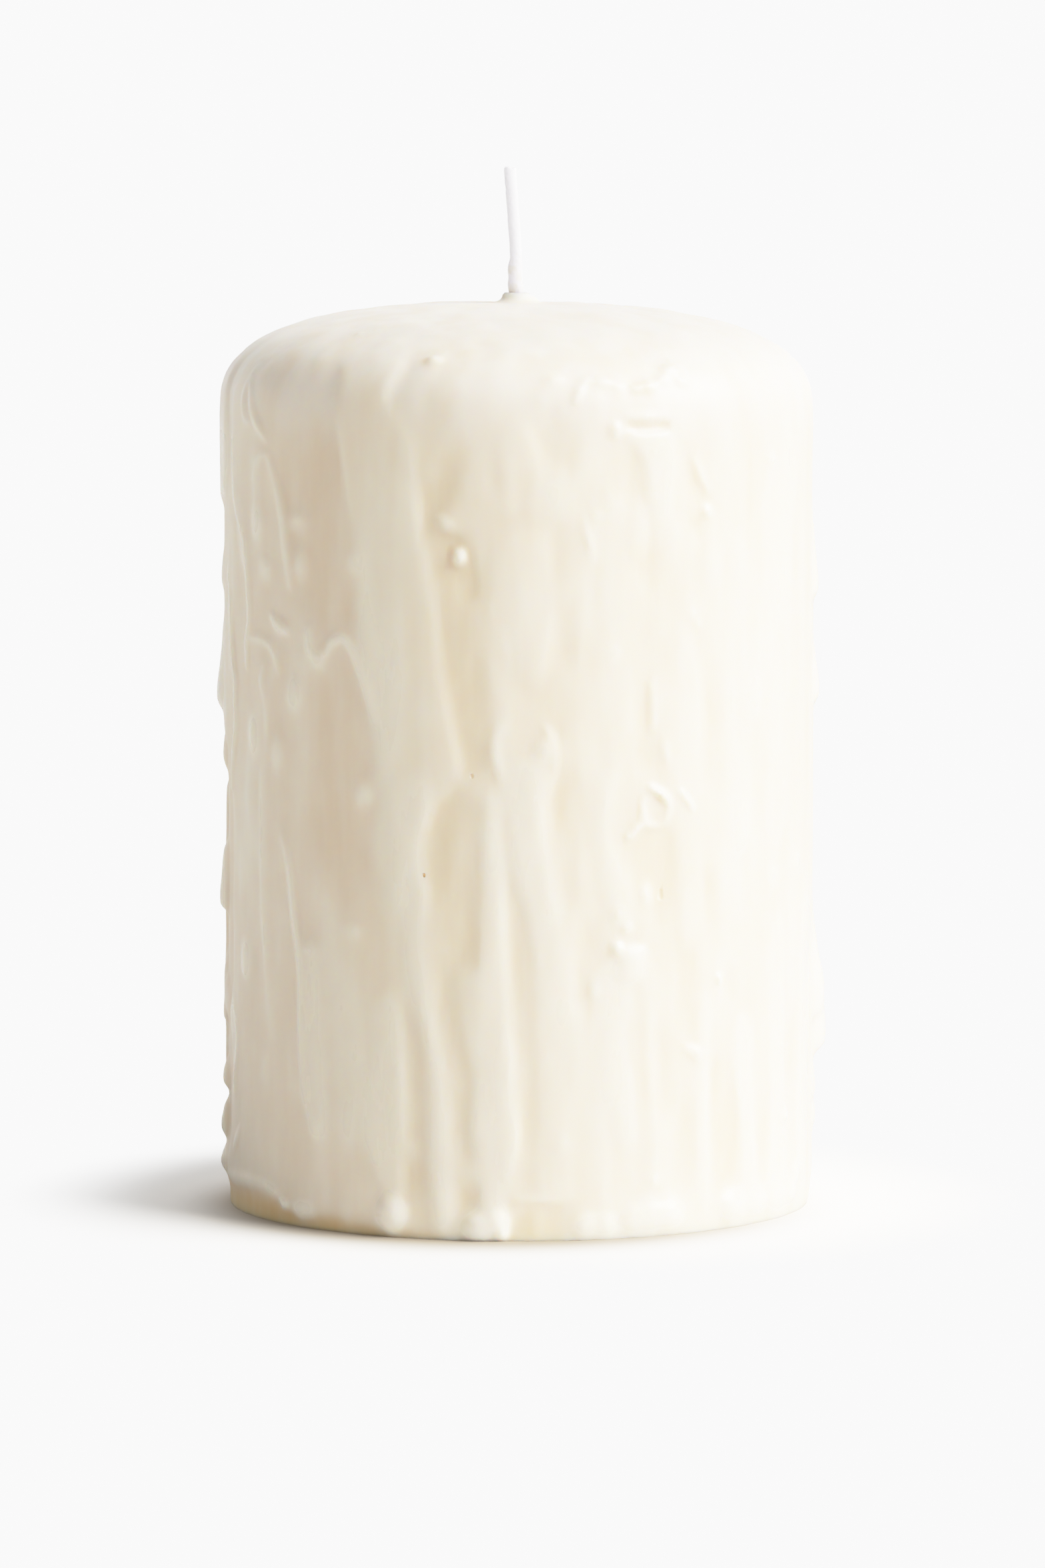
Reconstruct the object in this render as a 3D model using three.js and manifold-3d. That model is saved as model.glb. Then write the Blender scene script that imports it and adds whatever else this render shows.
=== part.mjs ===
// A melted pillar candle. The cast pillar was dipped and dripped over with its own wax, so it has a hem a little
// above its foot, and runs and beads down its side. A cotton wick passes through it from a tin tab under the foot.
// Millimetres, +Z up. The origin is on the axis of the pillar, on the surface that it stands on.

import * as THREE from 'three';
import { mergeVertices } from 'three/addons/utils/BufferGeometryUtils.js';
import Module from 'manifold-3d';

// Driving dimensions
const waxHeight = 120;
const coreRadius = 38.8;
const shoulderDrop = 13.9;
const shoulderPower = 2.6;
const domeCone = 0.4;
const topTilt = 0.008;
const coatThickness = 0.6;
const footChamfer = 1;
const wickRadius = 0.85;
const wickFreeLength = 17.6;
const fitGap = 0.35;

// Worked out from them
const shoulderHeight = waxHeight - shoulderDrop;
const wickTop = waxHeight + wickFreeLength;
const channelRadius = wickRadius + fitGap;
const millimetresPerDegree = (coreRadius * Math.PI) / 180;

// Mesh fineness
const sides = 90;
const shoulderSteps = 9;
const sideSteps = 33;
const footRows = [footChamfer, 2.2, 3.6, 5.4];
const roundSides = 32;
const wickSides = 12;
const wickSteps = 30;

// Angles round the pillar are in degrees from its front, which faces -Y, and grow towards +X.
// A run of wax is a list of stations from its head to its end: [angle, height, width, thickness].
const frontRuns = [
  [[-27, 46, 3, 0.3], [-26, 36, 4.5, 0.7], [-25.5, 22, 6, 0.9], [-25, 10, 3, 0.8], [-25, 4, 3.4, 1.2]],
  [[-22, 64, 3, 0.3], [-22.5, 55, 6, 0.7], [-20, 40, 3, 0.9], [-16.5, 25, 2.8, 0.8], [-15, 5, 2, 0.4]],
  [[-5, 58, 2, 0.3], [-4.5, 45, 3, 0.9], [-6, 28, 4.2, 1], [-4.5, 13, 6, 1], [-6, 3, 5, 1.4]],
  [[1.7, 66, 5, 0.5], [2, 60, 6, 1], [2.8, 50, 4, 0.9], [7, 34, 4.4, 0.9], [7, 14, 5, 0.5]],
  [[16.5, 60, 2, 0.4], [17.5, 50, 3, 0.7], [19, 44, 4.4, 1.1], [20.5, 40, 3, 1]],
  [[21, 38, 5, 1.6], [18, 31, 4.4, 1], [19, 18, 5, 0.7], [15, 3, 6, 1]],
  [[25.5, 34, 2, 0.5], [26, 20, 2.4, 0.6], [26, 8, 4, 0.8], [27, 3, 6, 1.1]],
  [[27, 104, 4, 0.6], [27, 92, 3, 0.5], [20, 75, 5, 0.4], [22, 60, 4, 0.5]],
  [[-15, 94, 5, 0.8], [-20, 82, 8, 0.5], [-25, 66, 9, 0.6]],
  [[-34, 104, 6, 0.4], [-31, 86, 9, 0.6], [-29, 74, 6, 0.6]],
  [[-50, 53, 2, 0.4], [-46, 36, 5, 0.9], [-44, 22, 4, 0.7], [-42, 13, 3.4, 0.8]],
  [[-60, 100, 3, 0.5], [-52, 88, 3, 0.5], [-42, 77, 6, 0.9]],
  [[-66, 96, 4, 0.7], [-62, 74, 9, 0.8], [-58, 48, 3, 0.6], [-58, 20, 3, 0.5]],
  [[44, 70, 7, 0.5], [46, 50, 8, 0.8], [47, 30, 5, 0.8], [48, 14, 4, 0.6]],
  [[60, 62, 6, 0.5], [60, 34, 9, 1], [60, 14, 5, 0.9], [60, 4, 12, 1]],
  [[37, 40, 3, 0.4], [37, 24, 4, 0.9], [39, 12, 3, 0.8]],
];

// The lumpy run at the left and the swollen one at the right, as beads: [angle, height, radius, thickness].
const sideBeads = [
  [-88, 105, 5, 0.5], [-90, 94, 5, 0.6], [-90, 82, 4, 0.6], [-88, 68, 6, 1.3], [-92, 57, 4, 0.8],
  [-88, 40, 6, 1.2], [-92, 24, 3.6, 0.8], [-88, 15, 3.4, 0.9], [-90, 9, 3, 0.9], [-92, 4, 3, 0.6],
  [86, 83, 5, 0.8], [88, 68, 6, 1], [88, 30, 10, 1.9], [90, 20, 8, 1.9],
];

// Round the back the runs follow a rule, because every side was dripped over in the same way.
const backRunCount = 17;

function backRuns() {
  const made = [];
  for (let i = 0; i < backRunCount; i += 1) {
    const angle = 102 + (156 * i) / (backRunCount - 1) + 2 * Math.sin(2.4 * i);
    const head = 62 + 44 * Math.sin(1.9 * i + 0.6);
    const end = 3 + 12 * Math.abs(Math.sin(2.7 * i));
    const lean = 3 * Math.sin(1.3 * i);
    const width = 4.4 + 1.6 * Math.sin(3.1 * i);
    made.push([
      [angle + lean, head, width, 0.4],
      [angle, (head + end) / 2, width + 1, 0.9],
      [angle - lean / 2, end + 6, width - 1, 0.8],
      [angle - lean / 2, end, width, 1.1],
    ]);
  }
  return made;
}

const runs = [...frontRuns, ...backRuns()];

// The signed distance round the side between two angles, in millimetres.
function around(from, to) {
  const turn = THREE.MathUtils.euclideanModulo(to - from + 180, 360) - 180;
  return turn * millimetresPerDegree;
}

// How far one run stands out at an angle and height. Its section is a flat half round, and its ends are rounded.
function runRelief(run, angle, height) {
  const head = run[0];
  const end = run[run.length - 1];
  const beyond = Math.max(height - head[1], end[1] - height, 0);
  const level = THREE.MathUtils.clamp(height, end[1], head[1]);
  const below = Math.max(run.findIndex((station) => station[1] <= level), 1);
  const [upper, lower] = [run[below - 1], run[below]];
  const part = (upper[1] - level) / (upper[1] - lower[1]);
  const [centre, , width, thickness] = upper.map((value, i) => THREE.MathUtils.lerp(value, lower[i], part));
  const away = Math.hypot(around(centre, angle), beyond) / (width / 2 + 1);
  return away < 1 ? thickness * Math.sqrt(1 - away * away) : 0;
}

function beadRelief([centre, level, radius, thickness], angle, height) {
  const away = Math.hypot(around(centre, angle), height - level) / radius;
  return away < 1 ? thickness * (1 - away * away) : 0;
}

// The hem of the coat: it ends higher at the left, and again at the right, and reaches down at the front.
function hemHeight(angle) {
  const turn = THREE.MathUtils.degToRad(angle);
  return 2.1 - 1.3 * Math.cos(turn) - 0.9 * Math.sin(turn) + 0.4 * Math.sin(7 * turn);
}

function relief(angle, height) {
  const coat = coatThickness * THREE.MathUtils.smoothstep(height, hemHeight(angle) - 0.6, hemHeight(angle) + 0.6);
  const run = Math.max(...runs.map((stations) => runRelief(stations, angle, height)));
  const bead = Math.max(...sideBeads.map((place) => beadRelief(place, angle, height)));
  return coat + Math.max(run, bead);
}

// The half section of the pillar, from the middle of its foot round to the middle of its top.
function pillarProfile() {
  const points = [new THREE.Vector2(0, 0), new THREE.Vector2(coreRadius - footChamfer, 0)];
  footRows.forEach((height) => points.push(new THREE.Vector2(coreRadius, height)));
  const lowest = footRows[footRows.length - 1];
  for (let i = 1; i <= sideSteps; i += 1) {
    points.push(new THREE.Vector2(coreRadius, THREE.MathUtils.lerp(lowest, shoulderHeight, i / sideSteps)));
  }
  for (let i = 1; i < shoulderSteps; i += 1) {
    const turn = (Math.PI / 2) * (1 - i / shoulderSteps);
    const radius = coreRadius * Math.sin(turn) ** (2 / shoulderPower);
    const cone = domeCone * (radius / coreRadius);
    const rise = (shoulderDrop - domeCone) * Math.cos(turn) ** (2 / shoulderPower);
    points.push(new THREE.Vector2(radius, shoulderHeight + rise + domeCone - cone));
  }
  points.push(new THREE.Vector2(0, waxHeight));
  return points;
}

// A turned shape about Z, as a closed mesh with shared vertices.
function turned(points, segments) {
  const shape = new THREE.LatheGeometry(points, segments);
  shape.rotateX(Math.PI / 2);
  shape.deleteAttribute('normal');
  shape.deleteAttribute('uv');
  return mergeVertices(shape, 1e-4);
}

// Moves each point of the pillar's side out by the relief there, fading it away over the shoulder.
function dripOver(geometry) {
  const place = geometry.getAttribute('position');
  for (let i = 0; i < place.count; i += 1) {
    const [x, y, z] = [place.getX(i), place.getY(i), place.getZ(i)];
    const radius = Math.hypot(x, y);
    if (radius < coreRadius / 4) continue;
    const angle = THREE.MathUtils.radToDeg(Math.atan2(x, -y));
    const stand = relief(angle, z) * THREE.MathUtils.smoothstep(radius, coreRadius / 2, coreRadius);
    const scale = (radius + stand) / radius;
    const fall = topTilt * x * THREE.MathUtils.smoothstep(z, shoulderHeight - shoulderDrop, waxHeight);
    place.setXYZ(i, x * scale, y * scale, z - fall);
  }
  return geometry;
}

const wasm = await Module();
wasm.setup();

function solidOf(geometry) {
  const vertProperties = Float32Array.from(geometry.getAttribute('position').array);
  const triVerts = Uint32Array.from(geometry.getIndex().array);
  return new wasm.Manifold(new wasm.Mesh({ numProp: 3, vertProperties, triVerts }));
}

function geometryOf(solid) {
  const mesh = solid.getMesh();
  const geometry = new THREE.BufferGeometry();
  geometry.setAttribute('position', new THREE.BufferAttribute(mesh.vertProperties, 3));
  geometry.setIndex(new THREE.BufferAttribute(mesh.triVerts, 1));
  geometry.computeVertexNormals();
  return geometry;
}

function profileOf(pairs) {
  return pairs.map(([radius, height]) => new THREE.Vector2(radius, height));
}

// The tab under the foot: a thin disc, pressed up in the middle into a collar that is crimped on the wick.
const tab = { radius: 10, thickness: 0.5, lift: 0.3, collarHeight: 6, collarWall: 0.5 };
const collarRadius = channelRadius + tab.collarWall;

function sustainerGeometry() {
  const upper = tab.lift + tab.thickness;
  const collarTop = upper + tab.collarHeight;
  const points = profileOf([
    [channelRadius, tab.lift],
    [tab.radius, tab.lift],
    [tab.radius, upper],
    [collarRadius, upper],
    [collarRadius, collarTop],
    [channelRadius, collarTop],
    [channelRadius, tab.lift],
  ]);
  return turned(points, roundSides);
}

// The wax that crept up the wick, as a small turned collar on top of the dome.
const creep = { radius: 3, waist: 1.9, height: 1.6, root: 2 };

function creepGeometry() {
  const points = profileOf([
    [0, waxHeight - creep.root],
    [creep.radius, waxHeight - creep.root],
    [creep.radius, waxHeight - 0.1],
    [creep.waist + 0.3, waxHeight + creep.height / 4],
    [creep.waist, waxHeight + creep.height],
    [0, waxHeight + creep.height],
  ]);
  return turned(points, roundSides);
}

// What is open inside the wax: the recess for the tab, the room for its collar, and the wick channel.
function boreGeometry() {
  const recessTop = tab.lift + tab.thickness + fitGap;
  const collarTop = recessTop + tab.collarHeight;
  const clear = 5;
  const points = profileOf([
    [0, -clear],
    [tab.radius + fitGap, -clear],
    [tab.radius + fitGap, recessTop],
    [collarRadius + fitGap, recessTop],
    [collarRadius + fitGap, collarTop],
    [channelRadius, collarTop],
    [channelRadius, waxHeight + creep.height + clear],
    [0, waxHeight + creep.height + clear],
  ]);
  return turned(points, roundSides);
}

function waxGeometry() {
  const pillar = solidOf(dripOver(turned(pillarProfile(), sides)));
  return geometryOf(pillar.add(solidOf(creepGeometry())).subtract(solidOf(boreGeometry())));
}

// The wick is straight in its channel. Its free end has a slight kink and leans to the left.
function wickGeometry() {
  const route = new THREE.CatmullRomCurve3([
    new THREE.Vector3(0, 0, tab.lift + tab.thickness),
    new THREE.Vector3(0, 0, waxHeight / 2),
    new THREE.Vector3(0, 0, waxHeight),
    new THREE.Vector3(-0.15, 0, waxHeight + 3),
    new THREE.Vector3(-0.1, 0, waxHeight + 6.6),
    new THREE.Vector3(-0.3, 0, waxHeight + 10),
    new THREE.Vector3(-0.84, 0, wickTop),
  ]);
  const section = new THREE.Shape();
  section.absarc(0, 0, wickRadius, 0, 2 * Math.PI);
  const tube = new THREE.ExtrudeGeometry(section, { steps: wickSteps, curveSegments: wickSides / 2, extrudePath: route });
  tube.deleteAttribute('normal');
  tube.deleteAttribute('uv');
  return mergeVertices(tube, 1e-4);
}

const wax = new THREE.MeshStandardMaterial({ color: 0xefe6d2, roughness: 0.42, metalness: 0 });
const cotton = new THREE.MeshStandardMaterial({ color: 0xf1f0f3, roughness: 0.9, metalness: 0 });
const tin = new THREE.MeshStandardMaterial({ color: 0xb9bcbf, roughness: 0.35, metalness: 1 });

function piece(name, geometry, material) {
  const mesh = new THREE.Mesh(geometry, material);
  mesh.name = name;
  return mesh;
}

const candle = new THREE.Group();
candle.add(piece('wax_body', waxGeometry(), wax));
candle.add(piece('wick', wickGeometry(), cotton));
candle.add(piece('wick_sustainer', sustainerGeometry(), tin));

export default candle;
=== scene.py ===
# %% [markdown]
# # A melted pillar candle
# A cast pillar of ivory wax that was dipped and dripped over, with a cotton wick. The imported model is
# loaded first as a fixed frame. It gives every size used here, so that the finished pieces fit it with
# nothing to adjust.

# %% Load the frame
import math

import bpy
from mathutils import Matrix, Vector


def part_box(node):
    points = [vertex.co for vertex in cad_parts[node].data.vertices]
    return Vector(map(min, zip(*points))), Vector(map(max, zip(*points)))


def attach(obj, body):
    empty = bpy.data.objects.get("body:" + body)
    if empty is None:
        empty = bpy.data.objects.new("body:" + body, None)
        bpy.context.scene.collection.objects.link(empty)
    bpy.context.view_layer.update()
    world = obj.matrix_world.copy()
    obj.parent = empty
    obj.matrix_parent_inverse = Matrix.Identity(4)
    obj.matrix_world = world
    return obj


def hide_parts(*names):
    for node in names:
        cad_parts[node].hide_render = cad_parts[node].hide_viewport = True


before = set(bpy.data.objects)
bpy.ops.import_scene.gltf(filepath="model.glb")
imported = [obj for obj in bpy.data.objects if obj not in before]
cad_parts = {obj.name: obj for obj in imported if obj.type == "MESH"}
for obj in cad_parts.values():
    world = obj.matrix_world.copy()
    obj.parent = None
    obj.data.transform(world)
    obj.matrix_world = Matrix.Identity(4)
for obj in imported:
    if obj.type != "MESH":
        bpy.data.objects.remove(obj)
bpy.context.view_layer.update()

# %% [markdown]
# The driving sizes. The wax is 120 units tall without the little collar that crept up the wick, so one
# unit is worked out from the height of the wax in the frame, and everything else is stated in that unit.

# %% Driving sizes
WAX_UNITS = 120
COLLAR_UNITS = 1.6
wax_low, wax_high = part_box("wax_body")
wick_low, wick_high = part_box("wick")
tab_low, tab_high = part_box("wick_sustainer")
mm = wax_high.z / (WAX_UNITS + COLLAR_UNITS)

core_radius = 38.7 * mm
inner_radius = 39.0 * mm
coat_radius = 39.22 * mm
wax_top = WAX_UNITS * mm
shoulder_drop = 13.9 * mm
shoulder_height = wax_top - shoulder_drop
shoulder_power = 2.6
top_tilt = 0.008
wick_radius = (wick_high.y - wick_low.y) / 2
tab_radius = (tab_high.x - tab_low.x) / 2
print("one unit in mm:", round(1000 * mm, 4), "wick radius in mm:", round(1000 * wick_radius, 3))
print("the wax stands on the floor at", round(wax_low.z, 5))

# %% [markdown]
# The camera stands about a metre away on a long lens, a little above the candle's top, and looks slightly
# down, so the dome shows as a thin curve and the foot as a shallow one.

# %% Camera
CAMERA_DISTANCE = 1.02
CAMERA_HEIGHT = 0.1506
CAMERA_SIDE = 0.0006
LOOK_DOWN = math.radians(5.311)
LENS = 175.9

camera_data = bpy.data.cameras.new("camera")
camera_data.lens = LENS
camera_data.sensor_width = 36
camera = bpy.data.objects.new("camera", camera_data)
bpy.context.scene.collection.objects.link(camera)
camera.location = (CAMERA_SIDE, -CAMERA_DISTANCE, CAMERA_HEIGHT)
camera.rotation_euler = (math.pi / 2 - LOOK_DOWN, 0, 0)
bpy.context.scene.camera = camera
print("camera at", tuple(camera.location))

# %% [markdown]
# Materials are graphs of nodes. Written out in full they are long, so one small class wraps a socket.
# Arithmetic on wrapped sockets adds Math nodes, and every other node comes from one method of the finish
# that it belongs to.

# %% Shader helpers
class Wire:
    """A socket of a shader graph that carries a value, a colour or a vector."""

    def __init__(self, finish, socket):
        self.finish, self.socket = finish, socket

    def math(self, operation, first, second):
        return self.finish.node("ShaderNodeMath", {"operation": operation}, {0: first, 1: second})

    def __add__(self, other):
        return self.math("ADD", self, other)

    def __sub__(self, other):
        return self.math("SUBTRACT", self, other)

    def __rsub__(self, other):
        return self.math("SUBTRACT", other, self)

    def __mul__(self, other):
        return self.math("MULTIPLY", self, other)

    __radd__ = __add__


class Finish:
    """A material or a world, and the nodes that make it up."""

    def __init__(self, owner):
        self.owner = owner
        owner.use_nodes = True
        self.tree = owner.node_tree
        self.tree.nodes.clear()

    def node(self, kind, settings=None, sockets=None, output=0):
        made = self.tree.nodes.new(kind)
        for name, value in (settings or {}).items():
            if name == "stops":
                self.set_stops(made.color_ramp, value)
            else:
                setattr(made, name, value)
        for name, value in (sockets or {}).items():
            if isinstance(value, Wire):
                self.tree.links.new(value.socket, made.inputs[name])
            else:
                made.inputs[name].default_value = value
        return Wire(self, made.outputs[output])

    def set_stops(self, ramp, stops):
        while len(ramp.elements) < len(stops):
            ramp.elements.new(0.5)
        for element, (place, colour) in zip(ramp.elements, stops):
            element.position, element.color = place, colour

    def mix(self, factor, first, second):
        settings = {"data_type": "RGBA"}
        return self.node("ShaderNodeMix", settings, {"Factor": factor, 6: first, 7: second}, output=2)

    def ramp(self, value, low, high):
        """0 below low, 1 above high, and smooth between them."""
        settings = {"interpolation_type": "SMOOTHSTEP"}
        sockets = {"Value": value, "From Min": low, "From Max": high}
        return self.node("ShaderNodeMapRange", settings, sockets)

    def noise(self, place, scale, detail=2.0, roughness=0.5):
        sockets = {"Vector": place, "Scale": scale, "Detail": detail, "Roughness": roughness}
        return self.node("ShaderNodeTexNoise", {}, sockets)

    def place(self):
        """Where a point lies on the object itself, so the finish stays put when the object moves."""
        return self.node("ShaderNodeTexCoord", output="Object")

    def part(self, vector, axis):
        return self.node("ShaderNodeSeparateXYZ", {}, {0: vector}, output=axis)

    def scaled(self, vector, factors):
        return self.node("ShaderNodeVectorMath", {"operation": "MULTIPLY"}, {0: vector, 1: factors})

    def bump(self, height, strength, distance):
        sockets = {"Strength": strength, "Distance": distance, "Height": height}
        return self.node("ShaderNodeBump", {}, sockets)

    def surface(self, kind, sockets, end="ShaderNodeOutputMaterial"):
        """Makes the shader and joins it to the end of the graph."""
        shader = self.node(kind, {}, sockets)
        last = self.tree.nodes.new(end)
        self.tree.links.new(shader.socket, last.inputs["Surface"])


def new_material(name):
    return Finish(bpy.data.materials.new(name))


def wear(piece, finish):
    """Gives a piece this finish and no other."""
    piece.data.materials.clear()
    piece.data.materials.append(finish.owner)
    print(finish.owner.name, "has", len(finish.tree.nodes), "nodes")


print("helpers ready")

# %% [markdown]
# The picture is bright and airy, like one taken with the exposure set so high that white paper goes
# almost to pure white. A camera does this with a shoulder: middle tones stay as they are, and the
# brightest are pressed together. The colour management has a curve for it, whose points are worked out
# from one formula.

# %% Exposure
WHITE = 1.56
SHOULDER = 0.6
SHOULDER_RATE = 0.862
BRIGHTEST = 4.0
CURVE_STEPS = 16
CURVE_SPREAD = 1.6


def exposed(light):
    """How bright this much light comes out in the picture, from 0 to 1."""
    if light <= SHOULDER:
        return light
    room = 1 - SHOULDER
    return SHOULDER + room * (1 - math.exp(-SHOULDER_RATE * (light - SHOULDER) / room))


view = bpy.context.scene.view_settings
view.view_transform = "Standard"
view.use_curve_mapping = True
view.curve_mapping.extend = "HORIZONTAL"
view.curve_mapping.white_level = (BRIGHTEST, BRIGHTEST, BRIGHTEST)
tone = view.curve_mapping.curves[3]
tone.points[0].location = (0, 0)
tone.points[-1].location = (1, exposed(BRIGHTEST))
tone.points.new(SHOULDER / BRIGHTEST, SHOULDER)
for step in range(1, CURVE_STEPS):
    light = SHOULDER + (BRIGHTEST - SHOULDER) * (step / CURVE_STEPS) ** CURVE_SPREAD
    tone.points.new(light / BRIGHTEST, exposed(light))
for point in tone.points:
    point.handle_type = "VECTOR"
view.curve_mapping.update()
print("white paper comes out at", round(exposed(WHITE), 3))

# %% [markdown]
# The light is a plain soft studio: one large soft lamp at the right, a little to the front, an even dim
# sky, and a brighter white wall behind, low down, which gives the rim of the candle its shine. The camera
# sees all of the sky as white paper.

# %% Light
SKY_LIGHT = 0.4
WALL_LIGHT = 1.4
KEY_LIGHT = 1.78
KEY_SIDE = math.radians(70)
KEY_HEIGHT = math.radians(33)
KEY_WIDTH = math.radians(44)
KEY_COLOUR = (1.0, 0.968, 0.915)
# The share of the sky over the floor that the wall behind takes up.
WALL_SHARE = 0.05


def grey(value):
    return (value, value, value, 1)


def seen(finish):
    """1 where the camera looks straight at this surface, and 0 where it only lights another."""
    return finish.node("ShaderNodeLightPath", output="Is Camera Ray")


world = bpy.data.worlds.new("studio")
bpy.context.scene.world = world
sky = Finish(world)
way = sky.node("ShaderNodeTexCoord", output="Generated")
behind = sky.ramp(sky.part(way, "Y"), 0.4, 0.85)
low = 1 - sky.ramp(sky.part(way, "Z"), 0.3, 0.7)
around = sky.mix(behind * low, grey(SKY_LIGHT), grey(WALL_LIGHT))
sky_colour = sky.mix(seen(sky), around, grey(WHITE))
sky.surface("ShaderNodeBackground", {"Color": sky_colour}, "ShaderNodeOutputWorld")

level_part = math.cos(KEY_HEIGHT)
key_direction = Vector((
    math.sin(KEY_SIDE) * level_part, -math.cos(KEY_SIDE) * level_part, math.sin(KEY_HEIGHT)
))
key_data = bpy.data.lights.new("key", "SUN")
key_data.energy = KEY_LIGHT * math.pi
key_data.angle = KEY_WIDTH
key_data.color = KEY_COLOUR
key = bpy.data.objects.new("key", key_data)
bpy.context.scene.collection.objects.link(key)
key.rotation_euler = key_direction.to_track_quat("Z", "Y").to_euler()
open_floor_light = SKY_LIGHT + (WALL_LIGHT - SKY_LIGHT) * WALL_SHARE + KEY_LIGHT * math.sin(KEY_HEIGHT)
print("light on the open floor:", round(open_floor_light, 3))

# %% [markdown]
# The floor is one wide plain disc of paper; it isn't part of the object. Close to the candle the paper
# shows its soft shadow. Further out it is overexposed to an even white, so that it has no visible end: a
# mask by the distance from the candle gives the paper less colour and more glow there. Right at the foot,
# most of all towards the front, a painted contact shade makes the paper darker and warmer: a second mask
# by distance takes away the glow there and darkens the colour to a warm grey.

# %% Floor
FLOOR_RADIUS = 30
PAPER = 0.72
SHADOW_NEAR = 48 * mm
SHADOW_FAR = 72 * mm
# Painted contact shade round the foot: its middle, its reach and its colour.
CONTACT_SHADE_MIDDLE = (-2.5 * mm, -8 * mm, 0)
CONTACT_SHADE_NEAR = 31 * mm
CONTACT_SHADE_FAR = 51 * mm
CONTACT_SHADE_COLOUR = (0.45, 0.405, 0.34, 1)


def deselect_all():
    bpy.ops.object.select_all(action="DESELECT")


def only(piece):
    """Makes one object the only one selected, and the active one."""
    deselect_all()
    piece.select_set(True)
    bpy.context.view_layer.objects.active = piece


deselect_all()
bpy.ops.mesh.primitive_circle_add(vertices=96, radius=FLOOR_RADIUS, fill_type="NGON")
floor = bpy.context.object
floor.name = "floor"
paper = new_material("pale_paper")


def from_middle(middle):
    """How far a point of the paper lies from this place on it."""
    ends = {0: paper.place(), 1: middle}
    return paper.node("ShaderNodeVectorMath", {"operation": "DISTANCE"}, ends, output="Value")


shadow = 1 - paper.ramp(from_middle((0, 0, 0)), SHADOW_NEAR, SHADOW_FAR)
fill = WHITE - open_floor_light
# The painted contact shade darkens and warms the paper and takes away its glow near the foot.
painted_contact_shade = 1 - paper.ramp(from_middle(CONTACT_SHADE_MIDDLE), CONTACT_SHADE_NEAR, CONTACT_SHADE_FAR)
painted_contact_shade = painted_contact_shade * painted_contact_shade
contact_shaded_colour = paper.mix(painted_contact_shade, grey(1), CONTACT_SHADE_COLOUR)
glow_less_contact_shade = paper.mix(painted_contact_shade, grey(fill), grey(0))
paper_sockets = {
    "Base Color": paper.mix(seen(paper), grey(PAPER), paper.mix(shadow, grey(0), contact_shaded_colour)),
    "Emission Color": paper.mix(seen(paper), grey(0), paper.mix(shadow, grey(WHITE), glow_less_contact_shade)),
    "Emission Strength": 1.0, "Roughness": 1.0, "Specular IOR Level": 0.0,
}
paper.surface("ShaderNodeBsdfPrincipled", paper_sockets)
wear(floor, paper)
print("floor radius in m:", FLOOR_RADIUS)

# %% [markdown]
# Places on the wax are given as an angle round the pillar and a height above its foot. The angle
# is 0 at the front and grows towards the right. A function turns such a place into a point on the coat
# and the direction that faces away from it, over the shoulder as well as on the straight side.

# %% Places on the coat
def turned(angle, radius, height):
    turn = math.radians(angle)
    return Vector((radius * math.sin(turn), -radius * math.cos(turn), height))


def on_coat(angle, height, radius=coat_radius):
    """A point of a pillar of this radius, by angle in degrees and height, and the outward direction."""
    rise = min(max((height - shoulder_height) / shoulder_drop, 0), 0.999)
    inward = (1 - rise**shoulder_power) ** (1 / shoulder_power)
    flat = inward ** (shoulder_power - 1) / radius
    up = rise ** (shoulder_power - 1) / shoulder_drop
    away = Vector((flat, up)).normalized()
    return turned(angle, radius * inward, height), turned(angle, away.x, away.y)


print("a point on the shoulder:", on_coat(0, 110 * mm)[0])

# %% [markdown]
# The pillar starts as a cylinder. Its top face is extruded and narrowed step by step along a squarish
# round curve, which gives the soft shoulder and the low dome. The same function makes the cast core and
# every coat over it.

# %% The pillar
SHOULDER_STEPS = 14
PILLAR_SIDES = 120
# The last ring stops just short of the middle, and a coat adds this share of its thickness to the top.
LAST_STEP = 0.995
TOP_SHARE = 0.2


def apply_place(piece):
    only(piece)
    bpy.ops.object.transform_apply(location=True, rotation=True, scale=True)


def pillar(name, radius, foot):
    """A closed pillar from foot up to the dome, whose shoulder curves in from this radius."""
    straight = shoulder_height - foot
    deselect_all()
    bpy.ops.mesh.primitive_cylinder_add(
        vertices=PILLAR_SIDES, radius=radius, depth=straight, location=(0, 0, foot + straight / 2)
    )
    piece = bpy.context.object
    piece.name = name
    apply_place(piece)
    extra = radius - core_radius
    for face in piece.data.polygons:
        face.select = face.normal.z > 0.9
    for line in piece.data.edges:
        line.select = False
    bpy.ops.object.mode_set(mode="EDIT")
    bpy.ops.mesh.select_mode(type="FACE")
    before = (1.0, 0.0)
    for step in range(1, SHOULDER_STEPS + 1):
        turn = math.pi / 2 * min(step / SHOULDER_STEPS, LAST_STEP)
        narrow = math.cos(turn) ** (2 / shoulder_power)
        rise = (shoulder_drop + extra * TOP_SHARE) * math.sin(turn) ** (2 / shoulder_power)
        lift = {"value": (0, 0, rise - before[1])}
        bpy.ops.mesh.extrude_region_move(TRANSFORM_OT_translate=lift)
        ratio = narrow / before[0]
        bpy.ops.transform.resize(value=(ratio, ratio, 1), center_override=(0, 0, 0))
        before = (narrow, rise)
    bpy.ops.object.mode_set(mode="OBJECT")
    return piece


core = pillar("core", core_radius, -3 * mm)
print("core faces:", len(core.data.polygons), "height in mm:", round(1000 * core.dimensions.z, 2))

# %% [markdown]
# Two coats of wax lie over the core. They ran down and stopped just short of the foot, so their lower
# edge is a wavy hem: its lowest ring of points is lifted by a smooth rule.

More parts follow.
